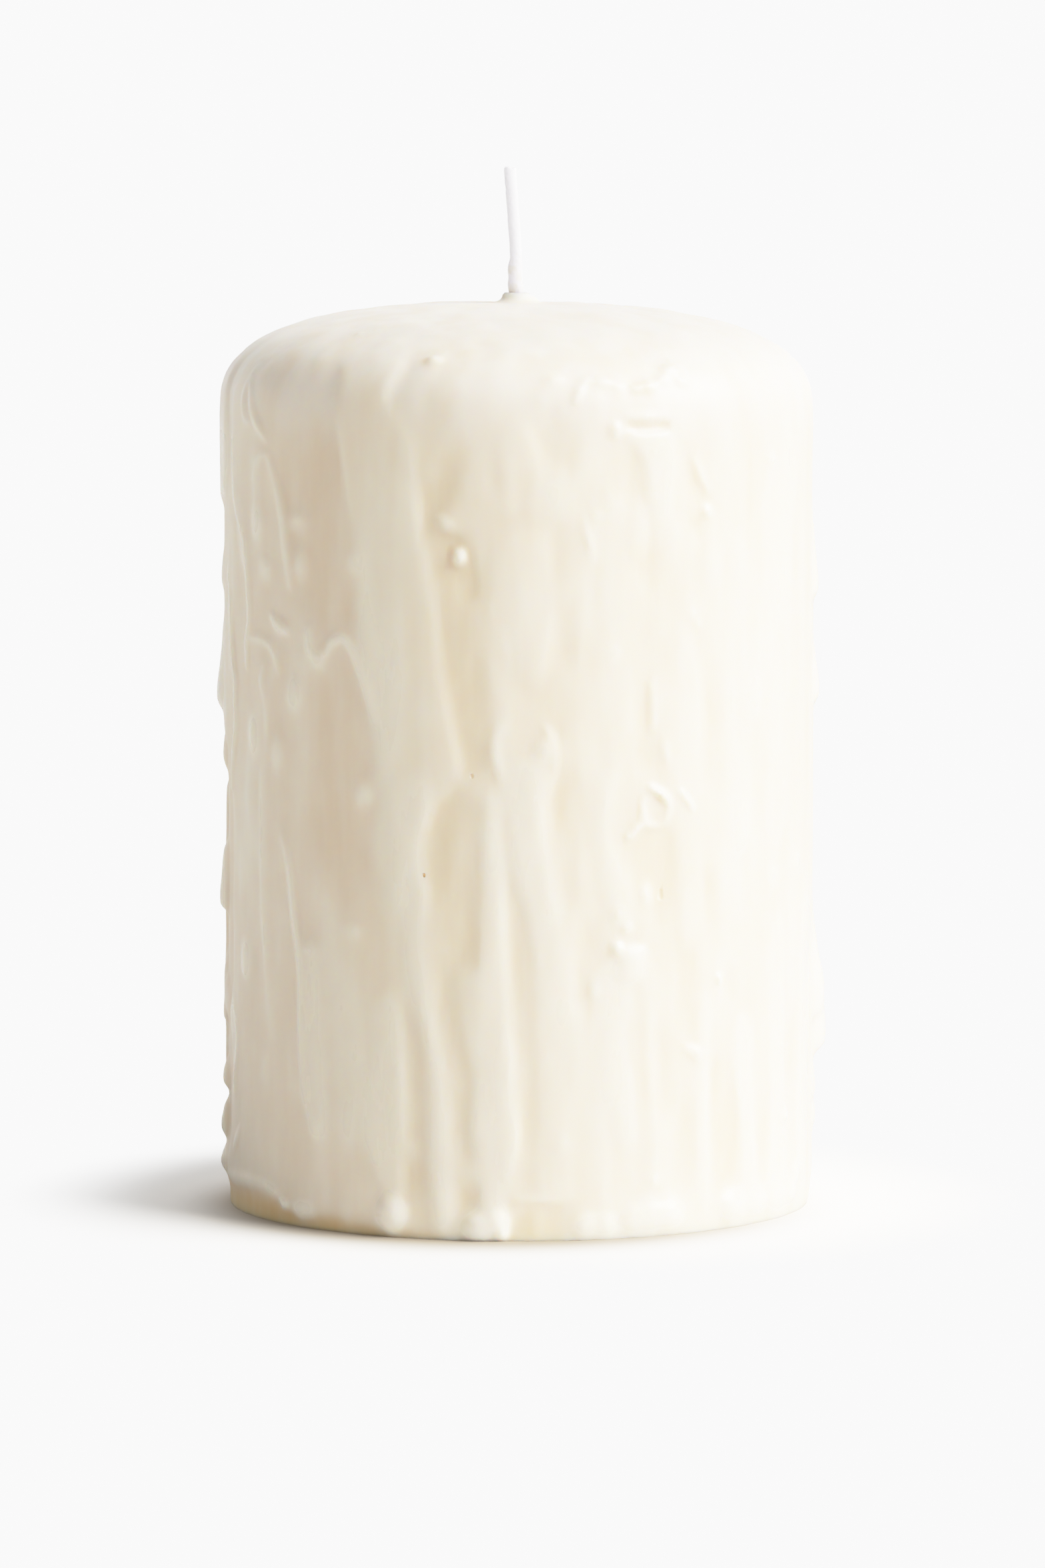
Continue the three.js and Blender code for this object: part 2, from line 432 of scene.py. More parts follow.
# %% The coats and their hem
def hem_height(angle):
    """How far the hem stands above the floor: low at the front and the right, higher at the left."""
    turn = math.radians(angle)
    wave = 0.3 * math.sin(5 * turn + 0.4) + 0.2 * math.sin(11 * turn + 1)
    return max(2.7 - 2.7 * math.cos(turn) - 2 * math.sin(turn) + wave, 0.15) * mm


def angle_of(point):
    return math.degrees(math.atan2(point.x, -point.y))


def lift_hem(piece):
    for vertex in piece.data.vertices:
        if vertex.co.z < mm:
            vertex.co.z = hem_height(angle_of(vertex.co))


inner_coat = pillar("inner coat", inner_radius, 0)
coat = pillar("coat", coat_radius, 0)
lift_hem(inner_coat)
lift_hem(coat)
hems = [round(1000 * hem_height(angle), 1) for angle in (0, 90, 180, 270)]
print("hem in mm at the front, right, back and left:", hems)

# %% [markdown]
# Hollows. Where wax ran past on both sides, the thinner ground between shows as a shallow hollow. Each is
# drawn as a closed outline in angles and heights: a smooth closed curve is filled, wrapped round the
# pillar and pulled out along the radius, like a pastry cutter. A Boolean modifier then takes the cutter
# out of the outer coat. The inner coat stays whole but for one wide bare place.

# %% Hollows
CUTTER_INNER = 22 * mm
CUTTER_OUTER = 60 * mm


def cutter(outline, inner=CUTTER_INNER):
    """A closed wedge through the side, whose edge follows a smooth outline of angles and heights."""
    deselect_all()
    bpy.ops.curve.primitive_bezier_circle_add()
    piece = bpy.context.object
    spline = piece.data.splines[0]
    spline.bezier_points.add(len(outline) - len(spline.bezier_points))
    for knot, (angle, height) in zip(spline.bezier_points, outline):
        knot.co = (angle, height, 0)
        knot.handle_left_type = knot.handle_right_type = "AUTO"
    spline.resolution_u = 4
    bpy.ops.object.convert(target="MESH")
    piece = bpy.context.object
    for vertex in piece.data.vertices:
        vertex.co = turned(vertex.co.x, inner, vertex.co.y * mm)
    bpy.ops.object.mode_set(mode="EDIT")
    bpy.ops.mesh.select_all(action="SELECT")
    bpy.ops.mesh.edge_face_add()
    bpy.ops.mesh.extrude_region_move()
    reach = CUTTER_OUTER / inner
    bpy.ops.transform.resize(value=(reach, reach, 1), center_override=(0, 0, 0))
    bpy.ops.mesh.select_all(action="SELECT")
    bpy.ops.mesh.normals_make_consistent(inside=False)
    bpy.ops.object.mode_set(mode="OBJECT")
    return piece


def remove(piece):
    bpy.data.objects.remove(piece)


def combine(piece, other, operation):
    """Cuts other out of piece, or keeps what they share, and removes other."""
    only(piece)
    change = piece.modifiers.new(operation, "BOOLEAN")
    change.operation, change.object, change.solver = operation, other, "EXACT"
    bpy.ops.object.modifier_apply(modifier=change.name)
    remove(other)


HOLLOWS = [
    # the thin ground at the left, above and below the draped thread of wax
    [(-53, 100), (-50, 108), (-44, 112.5), (-38.4, 112.5), (-36.8, 108), (-35, 102), (-33.6, 94),
     (-32.6, 87), (-32.4, 80), (-36, 79), (-40, 78), (-44, 80), (-48.6, 82), (-50, 88), (-51.6, 94)],
    [(-43.6, 73.4), (-41, 73), (-38, 76), (-34.6, 76.8), (-32, 74), (-30, 70), (-28.8, 64), (-28.4, 57),
     (-28.8, 50), (-31, 46), (-35, 42), (-39, 45), (-43, 52), (-44.4, 62)],
    # the valley below the hooked lip
    [(-19, 97), (-16, 98.4), (-13.6, 103.6), (-10.6, 103.4), (-10, 97), (-14.4, 92.6), (-11.6, 91.6),
     (-9.2, 90.2), (-7.4, 87), (-5.8, 83.6), (-7.6, 80.6), (-6.6, 76), (-5.6, 70), (-5.2, 62), (-8, 60),
     (-11, 61.6), (-12.6, 67), (-14.2, 74), (-15.6, 81), (-17.2, 87), (-18.8, 92)],
    # between the long runs at the front
    [(-21.9, 31), (-20.2, 30), (-19, 24), (-17.8, 16), (-17.4, 6), (-21, 5.6), (-21.8, 12), (-22.2, 22)],
    [(-17, 57), (-9.4, 58), (-7, 50), (-8, 44), (-8, 37), (-11.4, 33.6), (-10.6, 28), (-9, 22), (-9, 13),
     (-8, 5), (-12.6, 4), (-13, 12), (-13.8, 20), (-15.6, 27), (-17, 33), (-17.8, 39), (-17, 44),
     (-18.4, 50)],
    [(-3.2, 57), (-2, 51), (-0.8, 46.4), (1.2, 43), (2.7, 37.6), (3.3, 32), (3.6, 24), (3.6, 14),
     (1.8, 11.6), (0.3, 14), (-0.9, 19), (-1.4, 27), (-2, 35), (-2.5, 41), (-2.8, 48)],
    [(5.8, 59), (9.4, 62), (11.8, 56), (11, 48), (9.4, 43), (7.6, 45), (6.4, 50)],
    [(11, 41), (13.4, 42), (14, 36), (13.4, 30), (11.6, 28), (10.6, 33)],
    [(-2, 5), (3, 5.3), (8.2, 5.3), (8.6, 3), (8.2, 0.6), (-1.6, 0.6), (-2.4, 3)],
    # short ones below the shoulder
    [(-29, 105.4), (-26, 106), (-20.6, 113), (-22, 115), (-25.4, 112), (-29.4, 108)],
    [(3, 106.6), (7, 108), (10.4, 103), (8.6, 97.6), (4.6, 98), (3, 102)],
    [(6, 95), (9, 95), (9.6, 90), (8.8, 85), (7, 84.4), (5.8, 90)],
    [(8.2, 78.4), (10.4, 78), (11, 74.6), (9, 74)],
    # grooves at the right
    [(20.4, 102), (23.6, 102.4), (25, 98), (26, 92.6), (24.6, 90.6), (22.4, 91.4), (21.6, 96)],
    [(22.6, 90), (26.6, 90.6), (27, 85), (25, 83.4), (23, 86)],
    [(30.4, 103.6), (33.6, 103.4), (36, 99.6), (39.2, 95.6), (37.4, 94.6), (34, 97.6), (31.6, 101)],
    [(34, 93.6), (37, 93.8), (38.8, 91), (37, 90.2), (34.6, 91)],
    [(33.8, 79.4), (35.8, 79.6), (37.8, 75.6), (40.2, 70.6), (41, 64), (40.8, 57.6), (38.4, 57.8),
     (38, 66), (37, 71.4), (35.2, 75.4)],
    [(23, 70.6), (26, 71.4), (26.4, 66), (27.4, 61), (23.4, 61), (22.4, 66)],
    [(21.6, 52.6), (30.4, 53), (30.8, 48), (29.6, 42), (27.4, 40), (25.6, 42.6), (22.6, 47)],
    [(37.4, 47.6), (39.4, 47.6), (42.2, 42.6), (42.6, 36.4), (40.4, 35.2), (39, 40)],
    [(43, 34.6), (45, 34), (46.4, 30.6), (44.6, 30)],
    [(26.6, 27.6), (29, 26), (30.4, 20), (29.8, 16), (27.4, 18), (26.8, 22)],
    [(31.2, 7), (31.2, 16), (33.4, 17.8), (35.6, 15), (35.8, 7), (33.6, 5.4)],
    [(39.4, 7), (39, 20), (41, 22.8), (44, 21), (46.4, 17), (46, 8), (42.6, 4.6)],
    [(53, 8), (52.6, 20), (54.4, 22), (56.6, 17), (56.4, 8), (54.6, 5.8)],
    [(63.6, 18.4), (65.4, 25), (69, 27.8), (70.6, 22), (68, 17.4)],
]

# The wide bare place at the far left goes through both coats.
BARE = [
    (-112, 58), (-104, 63), (-88, 62.6), (-79, 60), (-75, 52), (-76.4, 40), (-75, 30), (-77, 18), (-79, 9),
    (-90, 6.4), (-108, 8), (-114, 30),
]

combine(inner_coat, cutter(BARE), "DIFFERENCE")
for outline in [BARE, *HOLLOWS]:
    combine(coat, cutter(outline), "DIFFERENCE")
print("coat faces after", len(HOLLOWS) + 1, "hollows:", len(coat.data.polygons))

# %% [markdown]
# Fusing. The core and the coats are joined into one object and remeshed with the Voxel Remesh modifier,
# which keeps only the outside and makes it one skin, as melting does. Smoothing then softens its edges,
# and a Displace modifier with a cloud texture, stretched upright, adds the slow unevenness that dipping
# leaves.

# %% Fusing helpers
VOXEL = 0.34 * mm


def join(pieces):
    only(pieces[0])
    for piece in pieces:
        piece.select_set(True)
    bpy.ops.object.join()
    return bpy.context.object


def modify(piece, kind, **settings):
    """Adds a modifier, sets it and applies it."""
    only(piece)
    change = piece.modifiers.new(kind, kind)
    for name, value in settings.items():
        setattr(change, name, value)
    bpy.ops.object.modifier_apply(modifier=change.name)


def fuse(pieces, smoothing):
    piece = join(pieces)
    modify(piece, "REMESH", mode="VOXEL", voxel_size=VOXEL)
    modify(piece, "SMOOTH", factor=0.5, iterations=smoothing)
    return piece


def uneven(piece, strength, size, tall, seed):
    """Moves the surface in and out by a soft cloud pattern, stretched upright by tall."""
    clouds = bpy.data.textures.new("clouds", "CLOUDS")
    clouds.noise_scale = size
    clouds.noise_depth = 1
    guide = bpy.data.objects.new("guide", None)
    guide.location = (seed, seed / 2, seed / 3)
    guide.scale = (1, 1, tall)
    bpy.context.scene.collection.objects.link(guide)
    bpy.context.view_layer.update()
    modify(
        piece, "DISPLACE", texture=clouds, texture_coords="OBJECT", texture_coords_object=guide,
        strength=strength, mid_level=0.5, direction="NORMAL",
    )
    remove(guide)


body = fuse([core, inner_coat, coat], 40)
uneven(body, 0.4 * mm, 6 * mm, 4, 0.31)
uneven(body, 0.16 * mm, 2.4 * mm, 3, 0.57)
print("fused ground:", len(body.data.polygons), "faces")

# %% [markdown]
# Bands. Most of the wax that came down lies as flat bands and wide sheets, a tenth of a millimetre to
# nearly half a millimetre proud, with a soft edge. A band is listed from its head to its end as a height
# and the angles of its left and right edge. Their outline makes a cutter, and what it shares with a
# slightly wider pillar is the band.

# %% Bands
# How far each band stands out, then its stations: height, left angle, right angle.
BANDS = [
    # the wide sheet left of the middle, the run that leaves it, and the run with the glossy end at its left
    (0.11, [(113.6, -36.4, -24), (109, -37, -26), (104, -35.4, -21), (98, -34, -19.6), (92, -33, -18.8),
            (86, -32.4, -17), (80, -31.8, -15.8), (75, -31, -14.8), (71, -29.2, -14), (66, -28, -12.6),
            (61, -27.2, -11.4), (56, -26, -16), (50, -26, -18.6), (46, -28, -17.4), (43.4, -28, -17.6),
            (41.6, -24, -18.8)]),
    (0.25, [(59, -24, -17.6), (55, -24.4, -17.9), (50, -24, -19.4), (45, -24.6, -17.6), (41, -22, -18.3),
            (37, -21.6, -18), (33, -20.8, -17.3), (30, -19.4, -16.7), (27, -18.5, -15.9),
            (24, -17.9, -15), (20, -17.2, -14.1), (15, -16.9, -13.7), (9, -16.9, -13.5),
            (4, -16.6, -13.3), (1.6, -16, -14)]),
    (0.2, [(31, -28, -23.6), (27, -29.2, -22.4), (22, -29, -22), (18, -29.2, -21.5), (14.6, -30, -21.6),
           (12, -28.4, -21.9), (9, -27.2, -22.5), (6.5, -26.8, -22.6), (4, -26.8, -22.4), (2, -26, -23)]),
    # the run in the middle
    (0.25, [(58.4, -5.7, -4.3), (54, -6, -3.8), (50, -6.5, -3.6), (46, -6.8, -3), (43, -7.4, -2.7),
            (39, -7.4, -2.4), (35, -7.6, -2.1), (31, -8.2, -1.7), (27, -8.2, -1.5), (23, -8.2, -1.4),
            (19, -8.1, -1), (16, -8.6, -0.4), (12, -8.7, -0.1), (9, -8, -1), (6.4, -7.2, -2.9),
            (3.4, -7, -3.2)]),
    (0.12, [(34.4, -11, -7), (31, -11, -7), (27, -9.9, -7), (22.6, -8.6, -7)]),
    # the run right of the middle, its thicker heart and the sheet it ends on
    (0.2, [(61, -2, 6.6), (57, -1.8, 5.2), (52, -1.2, 5.5), (47, -0.3, 6.3), (44, 1, 7.3), (41, 2.1, 8.1),
           (38, 3, 9.6), (34, 3.7, 10.1), (30.6, 4.2, 10.2), (28.6, 5.4, 9.4)]),
    (0.27, [(61, 1.6, 4.2), (55, 2.2, 4.8), (50, 3, 5.4), (45, 4, 6.2), (41, 5, 7)]),
    (0.11, [(30.6, 4, 11), (24, 3.8, 12), (17, 3.8, 12.4), (11, 4, 13), (7.4, 3, 14)]),
    # further right: a tongue, a cup with its run, and a thin run
    (0.21, [(60.6, 16.6, 18.8), (57, 15.6, 18), (53, 15.4, 17.8), (50, 15.2, 18.6), (47, 15.6, 20.4),
            (44, 17, 21.8), (41.4, 19, 22.2), (40, 20, 21.8)]),
    (0.2, [(34.4, 13.8, 22), (32, 14, 21.4), (29.6, 15, 21), (27.6, 17, 21), (24, 17.4, 21),
           (20, 18, 21.6), (15.6, 18.6, 22), (12.6, 20, 21.9)]),
    (0.17, [(36, 25, 26.3), (30, 25, 26.2), (22, 25.6, 26.8), (15, 26, 27.2), (9.6, 26, 27.4),
            (7, 25.8, 27.6)]),
    # the short run below the slot, and soft columns
    (0.22, [(104.2, 21, 30), (102.8, 22.6, 30.6), (100, 24.8, 30.6), (97, 25.6, 30.4), (94, 26.4, 30),
            (92.4, 27.4, 29.6)]),
    (0.1, [(93, 13, 19), (88, 14.6, 20.6), (82, 15.4, 21), (77, 15.4, 20.6), (75.4, 16.6, 19.6)]),
    (0.1, [(77, 31, 35), (68, 31.4, 36.4), (58, 32, 36.6), (48, 33, 37), (38, 33, 36)]),
    (0.13, [(105, -3.4, 1.4), (103, -4, 3), (100, -3.6, 3), (98, -3, 0), (94, -2.6, -0.6)]),
    (0.1, [(91, -3, 3.4), (86, -3.4, 6), (80, -2.4, 6), (76, -0.8, 5.4), (73, 0.6, 4.6)]),
    (0.1, [(90, 42, 49), (76, 42.4, 50), (62, 43, 50), (50, 44, 49)]),
    (0.1, [(98, 55, 64), (80, 56, 66), (62, 56, 66), (50, 57, 62)]),
    # between the arches at the lower right
    (0.17, [(31, 36.8, 38.6), (22, 36.6, 38.9), (14, 36.2, 39.2), (6, 36.2, 39.4), (3, 37, 39)]),
    (0.17, [(27, 46.4, 50.4), (20, 46.5, 51.4), (14, 48, 52), (6, 47.5, 52.6), (3, 48.4, 51.6)]),
    (0.2, [(40, 58, 62), (30, 57, 63), (20, 57, 63.4), (10, 57.4, 63), (4, 57, 64)]),
    (0.25, [(40, 74, 80), (30, 72, 80), (20, 71.4, 79), (8, 70.6, 78), (4, 72, 77)]),
    # at the left
    (0.19, [(36.8, -46.8, -40.4), (34, -46.4, -40.6), (28, -46.4, -40.4), (22, -46, -40.4),
            (18, -45.2, -40.4), (14.5, -44.2, -40.2), (12.6, -43, -41)]),
    (0.15, [(70, -59, -56.4), (60, -59, -57), (50, -59, -57), (40, -58.4, -56.6), (30, -57, -55.6),
            (24, -56, -54.8)]),
    (0.45, [(117, -104, -80), (110, -107, -78), (102, -107, -77), (97, -104, -79), (95, -100, -82)]),
    (0.15, [(109, -72, -67), (104, -73, -68), (97, -74, -69.6), (92, -70, -66), (86, -67, -64)]),
]

# Round the back the bands follow a rule, because every side was dripped over in the same way.
BACK_BANDS = 19
# Their form: how far down, how wide, and how much of the lean.
BACK_FORM = [
    (0, 0.35, 1), (0.12, 0.8, 0.9), (0.35, 1.05, 0.6), (0.6, 0.7, 0.2), (0.85, 0.55, 0), (0.96, 0.7, 0),
    (1, 0.3, 0),
]


def back_bands():
    """Bands all across the back. Waves of different lengths keep any two from being alike."""
    made = []
    for i in range(BACK_BANDS):
        middle = 92 + 176 * i / (BACK_BANDS - 1) + 2.4 * math.sin(2.4 * i)
        head = 66 + 42 * math.sin(1.9 * i + 0.6)
        end = 3 + 13 * abs(math.sin(2.7 * i))
        half = 3.4 + 1.3 * math.sin(3.1 * i)
        lean = 3 * math.sin(1.3 * i)
        stations = []
        for part, wide, shift in BACK_FORM:
            axis = middle + lean * shift
            stations.append((head + (end - head) * part, axis - half * wide, axis + half * wide))
        made.append((0.26 + 0.08 * math.sin(1.7 * i), stations))
    return made


def band(stand, stations):
    piece = pillar("band", coat_radius + stand * mm, 0)
    outline = [(left, height) for height, left, right in stations]
    outline += [(right, height) for height, left, right in reversed(stations)]
    combine(piece, cutter(outline), "INTERSECT")
    return piece


bands = [band(stand, stations) for stand, stations in [*BANDS, *back_bands()]]
print("bands:", len(bands))

# %% [markdown]
# Threads of wax. Each is a curve drawn over the surface, thick enough for its hidden part to lie inside
# the pillar and only a low ridge to stand out. From the ridge's width and how far it stands out, the
# radius of that round follows, and so does how deep its middle lies.

# %% Threads
def ridge_point(angle, height, width, stand):
    """The middle and radius of a round whose outer part shows as a ridge of this width, this far out."""
    width, stand = width * mm, stand * mm
    radius = (width**2 + 4 * stand**2) / (8 * stand)
    place, away = on_coat(angle, height * mm)
    return place + away * (stand - radius), radius


FEWEST_POINTS = 5


def tube(points):
    """A closed round tube along a smooth curve of points, each with its own radius."""
    # The path starts with five points of its own, so a shorter list gets points halfway between.
    while len(points) < FEWEST_POINTS:
        halfway = [((a + b) / 2, (r + s) / 2) for (a, r), (b, s) in zip(points, points[1:])]
        points = [point for pair in zip(points, halfway) for point in pair] + points[-1:]
    deselect_all()
    bpy.ops.curve.primitive_nurbs_path_add()
    piece = bpy.context.object
    spline = piece.data.splines[0]
    spline.points.add(len(points) - len(spline.points))
    for knot, (place, radius) in zip(spline.points, points):
        knot.co = (*place, 1)
        knot.radius = radius
    spline.order_u = 3
    spline.use_endpoint_u = True
    spline.resolution_u = 4
    piece.data.bevel_depth = 1
    piece.data.bevel_resolution = 6
    piece.data.use_fill_caps = True
    bpy.ops.object.convert(target="MESH")
    return bpy.context.object


def thread(width, stand, places):
    """A thread of wax through places of angle and height. It is thinner at both ends."""
    last = len(places) - 1
    points = []
    for i, (angle, height) in enumerate(places):
        share = 0.6 if i in (0, last) else 1
        points.append(ridge_point(angle, height, width * share, stand * share))
    return tube(points)


# The width of each thread and how far it stands out, then its places: angle and height.
THREADS = [
    # folds at the far left: a drop-shaped loop, an arch, and long wandering edges
    (1.43, 0.41, [(-65.4, 112), (-66.6, 109), (-66.7, 106.8), (-65.2, 105), (-63.4, 104.8)]),
    (1.56, 0.45, [(-65, 110.4), (-63, 107.4), (-61, 105), (-58.6, 103.8), (-56.6, 102.6)]),
    (1.56, 0.3, [(-62, 97), (-60.6, 99.4), (-58.6, 100.9), (-56.6, 101), (-55.2, 99.8), (-54, 97.8),
                 (-52.4, 95), (-51.2, 92), (-50.8, 89.6), (-49.8, 87), (-49.2, 83.6)]),
    (1.56, 0.35, [(-72.6, 109), (-72.6, 103), (-72.4, 98), (-71.6, 95), (-70, 92.8), (-67.6, 91),
                  (-65.8, 89), (-65.2, 86), (-64.4, 82.6), (-63.6, 80), (-64.4, 77.6), (-65.6, 75.6),
                  (-65.4, 72.6)]),
    (1.43, 0.41, [(-78, 85.4), (-75.6, 83), (-74.8, 79), (-74.4, 75), (-73, 72.4), (-71.6, 70.4),
                  (-72.4, 68), (-71.2, 65.4), (-74, 61), (-75, 56)]),
    (1.3, 0.3, [(-64.4, 76.6), (-61, 76.8), (-57.6, 76.6), (-55, 76), (-53.6, 74.4), (-52.8, 72.4)]),
    (1.3, 0.35, [(-57.4, 73.6), (-58.8, 72.2), (-58.6, 70.6), (-57.2, 69.2), (-56.6, 66), (-57, 62)]),
    (1.69, 0.41, [(-55.6, 80.2), (-53.6, 79.2), (-51.4, 78.4), (-49.4, 78)]),
    (1.3, 0.35, [(-76, 26.6), (-73.6, 27.8), (-71.8, 26), (-70.6, 22.6), (-72, 20.2), (-73.6, 18),
                 (-73.6, 15.4)]),
    (1.3, 0.31, [(-75, 7.8), (-72.4, 9.4), (-69.8, 11.4)]),
    (1.69, 0.27, [(-82, 4.4), (-76, 4.2), (-70, 4.6), (-64, 4.8), (-58, 4.9), (-54, 4.2), (-51.4, 3.4)]),
    (1.17, 0.31, [(-59, 60), (-59, 50), (-58.4, 40), (-57, 32), (-56, 25)]),
    # the draped thread, and the edge of the wide sheet above and below it
    (1.3, 0.33, [(-44.2, 79), (-44, 77), (-43.2, 75.4), (-41.2, 74.8), (-39.4, 75.6), (-38.2, 77),
                 (-36.4, 77.8), (-34.6, 77.7), (-33, 76.2), (-31.8, 74.4), (-30.4, 72.4), (-29, 69.8),
                 (-28.2, 67)]),
    (3.38, 0.36, [(-43.2, 75.6), (-41.2, 74.6), (-39.4, 75.6)]),
    (1.17, 0.28, [(-37.6, 112.6), (-36.8, 108), (-35.2, 103), (-34.2, 98), (-33.4, 93.4)]),
    # the edges of the run at the left
    (1.17, 0.33, [(-52, 51.4), (-50.4, 49.4), (-49.4, 46.4), (-48.6, 42.4), (-47.8, 39), (-46.9, 36.6),
                  (-46.3, 33), (-46.4, 27), (-45.8, 21), (-44.8, 16.4), (-43.6, 13.6)]),
    (1.04, 0.3, [(-46.6, 36.6), (-44, 36.8), (-41, 36.6)]),
    (1.04, 0.3, [(-30.4, 14.6), (-29, 12), (-27.8, 9.6), (-27.3, 7)]),
    # the hooked lip in the middle, and the soft edge below it at its right
    (1.4, 0.2, [(-15.4, 93.8), (-14, 92.9), (-12.6, 92.4), (-11.4, 92.3)]),
    (1.69, 0.17, [(-5.4, 83), (-3.6, 79.4), (-2.2, 76), (-1.2, 72.6)]),
    # the horseshoe head over the run right of the middle
    (1.56, 0.28, [(-1.6, 67.4), (-3.4, 66.8), (-4.5, 65.2), (-4.5, 63.2), (-3.6, 61), (-2.6, 58.4)]),
    (1.3, 0.25, [(5, 66.8), (6.4, 64.8), (7, 62.6), (6.9, 60.4)]),
    # the melted rim at the upper right and the lip over the slot
    (1.3, 0.4, [(10.8, 108.4), (11.6, 109.8), (12.8, 111)]),
    (0.8, 0.35, [(32.6, 113.6), (34.4, 113), (35.1, 111.6), (34.8, 110.2)]),
    (1.3, 0.26, [(20.4, 106.5), (25, 106.4), (29.6, 106.5)]),
    (1.43, 0.33, [(12.4, 93.4), (13.2, 91), (14, 89.2), (14.3, 87.6)]),
    (1.17, 0.23, [(39.4, 96.6), (37.4, 98.4), (35.6, 101)]),
    (1.04, 0.23, [(26, 72.4), (26.6, 69.4), (26.3, 66)]),
    (0.91, 0.33, [(28.7, 64.4), (29.1, 63), (29.5, 61.8)]),
    # the top edges of the pads at the foot
    (1.17, 0.26, [(-2.6, 5.2), (1, 5.5), (5, 5.6), (8.4, 5.4)]),
    (1.17, 0.23, [(22.6, 5), (25, 5.4), (27.6, 5), (30.4, 5.6), (32, 4.4)]),
    (1.3, 0.26, [(46.6, 21), (47.4, 17.6), (48.6, 13)]),
]
threads = [thread(*line) for line in THREADS]
print("threads:", len(threads))

# %% [markdown]
# The runs seen edge on at the left and the swollen one at the right give the outline its steps. They are
# drops that ran into each other: each swells slowly downwards and ends in a short step.

# %% Stepped outline
# The round end: how far beyond the last full section, and how much of its radius is left there.
END_FADE = [(0.5, 0.866), (0.8, 0.6), (0.95, 0.31), (1.0, 0.08)]


def drop(angle, height, length, width, stand):
    """A drop whose swollen end is at this height and whose tail rises by length."""
    points = [
        ridge_point(angle + 1, height + length, width * 0.5, stand * 0.25),
        ridge_point(angle, height + length * 0.5, width * 0.8, stand * 0.6),
        ridge_point(angle, height + width * 0.3, width, stand),
    ]
    radius = points[-1][1]
    surface, away = on_coat(angle, height * mm)
    for beyond, part in END_FADE:
        below = Vector((0, 0, -beyond * width / 2 * mm))
        points.append((surface + below + away * (stand * mm - radius) * part, radius * part))
    return tube(points)


SIDE_DROPS = [
    (-84, 105, 8, 6, 0.5), (-88, 93, 9, 5, 0.6), (-90, 81.5, 6, 4.6, 0.6), (-86, 74, 5, 4, 0.5),
    (-88, 66.5, 9, 6.4, 1.2), (-91, 57, 6, 4.6, 0.5), (-88, 39, 9, 5, 0.85), (-91, 23, 6, 4.4, 0.55),
    (-88, 14.8, 4, 3.8, 0.55), (-90, 9.2, 4, 3.4, 0.85), (-87, 4.6, 3, 3.4, 0.8), (88, 81, 10, 6, 1.1),
    (89, 67.4, 8, 6, 1.3), (88, 45, 8, 6, 0.6), (90, 36, 8, 6, 0.7), (88, 26, 12, 9, 2.1),
    (91, 21.4, 10, 9, 2.4), (87, 13, 8, 7, 1.0), (92, 9.6, 7, 6, 1.0),
]
side_drops = [drop(*place) for place in SIDE_DROPS]
print("drops at the sides:", len(side_drops))

# %% [markdown]
# Beads are set drops of wax. Each starts as a ball, is flattened along the radius, and has its middle
# half a millimetre deep, so the remesh joins it to the ground. The small ones are fused last and smoothed
# least, so they stay crisp.

# %% Beads
BEAD_DEPTH = 0.5


def ball(radius, scale, place, angle=0.0, detail=3):
    """A ball, stretched, turned round the upright axis by an angle in degrees and moved to a place."""
    deselect_all()
    bpy.ops.mesh.primitive_ico_sphere_add(subdivisions=detail, radius=radius)
    piece = bpy.context.object
    piece.scale = scale
    piece.rotation_euler = (0, 0, math.radians(angle))
    piece.location = place
    apply_place(piece)
    return piece


def bead(angle, height, radius, stand, tall=1.0):
    """A drop of this radius round the side, tall times higher than wide, that stands out this far."""
    place, away = on_coat(angle, height * mm)
    scale = (1, (stand + BEAD_DEPTH) / radius, tall)
    return ball(radius * mm, scale, place - away * BEAD_DEPTH * mm, angle)


BEADS = [
    # glossy tips on the double curled end of the run in the middle, and on the one at the left
    (-4.4, 3.4, 0.9, 0.9, 0.9), (-3.2, 1.1, 1.0, 0.8, 0.9), (-8.6, 2.4, 1.0, 0.85),
    (-24.4, 3.6, 1.2, 1.05, 1.3),
    # the melted rim at the upper right
    (13.4, 111.3, 1.2, 0.35, 0.6), (16.6, 111, 1.9, 0.4, 0.5), (19.4, 110.6, 1.0, 0.3, 0.6),
    (23.4, 110.3, 1.2, 0.35, 0.5), (26, 110.4, 1.6, 0.4, 0.6), (29.4, 111.2, 1.3, 0.4, 0.7),
    (31.6, 112.2, 1.8, 0.55, 0.7), (33.2, 111, 1.3, 0.45, 0.8),
    # the lumps at the right of the middle
    (19, 37.9, 1.0, 0.7), (23.6, 37.4, 1.0, 0.55, 0.9), (14.4, 32.6, 0.8, 0.35, 1.8),
    (20.8, 40.6, 1.0, 0.5),
    # small set drops
    (-17.5, 113.4, 1.4, 0.35, 0.9), (-11.2, 88.6, 0.95, 0.4, 1.3), (18.5, 104.9, 1.1, 0.5, 1.2),
    (38.7, 94, 0.9, 0.45), (57.6, 100.4, 1.1, 0.45), (35, 81, 0.8, 0.35), (36.4, 79.6, 0.6, 0.3),
    (15, 94, 1.2, 0.3, 0.7), (36.2, 23.6, 1.2, 0.5), (34.4, 24.2, 1.1, 0.35, 0.8),
    (41.8, 33, 0.7, 0.6, 1.5), (63, 13.6, 1.3, 0.7, 0.8), (-23.2, 22, 0.8, 0.4, 1.2),
    (-42.6, 116.6, 0.7, 0.3), (26.6, 7.3, 0.9, 0.5, 1.2), (-51.4, 2.9, 1.1, 0.6, 0.9),
    (24.4, 3.6, 1.0, 0.5, 0.6), (28.4, 3.8, 1.2, 0.6, 0.6), (14.6, 2.4, 1.0, 0.4, 0.6),
]
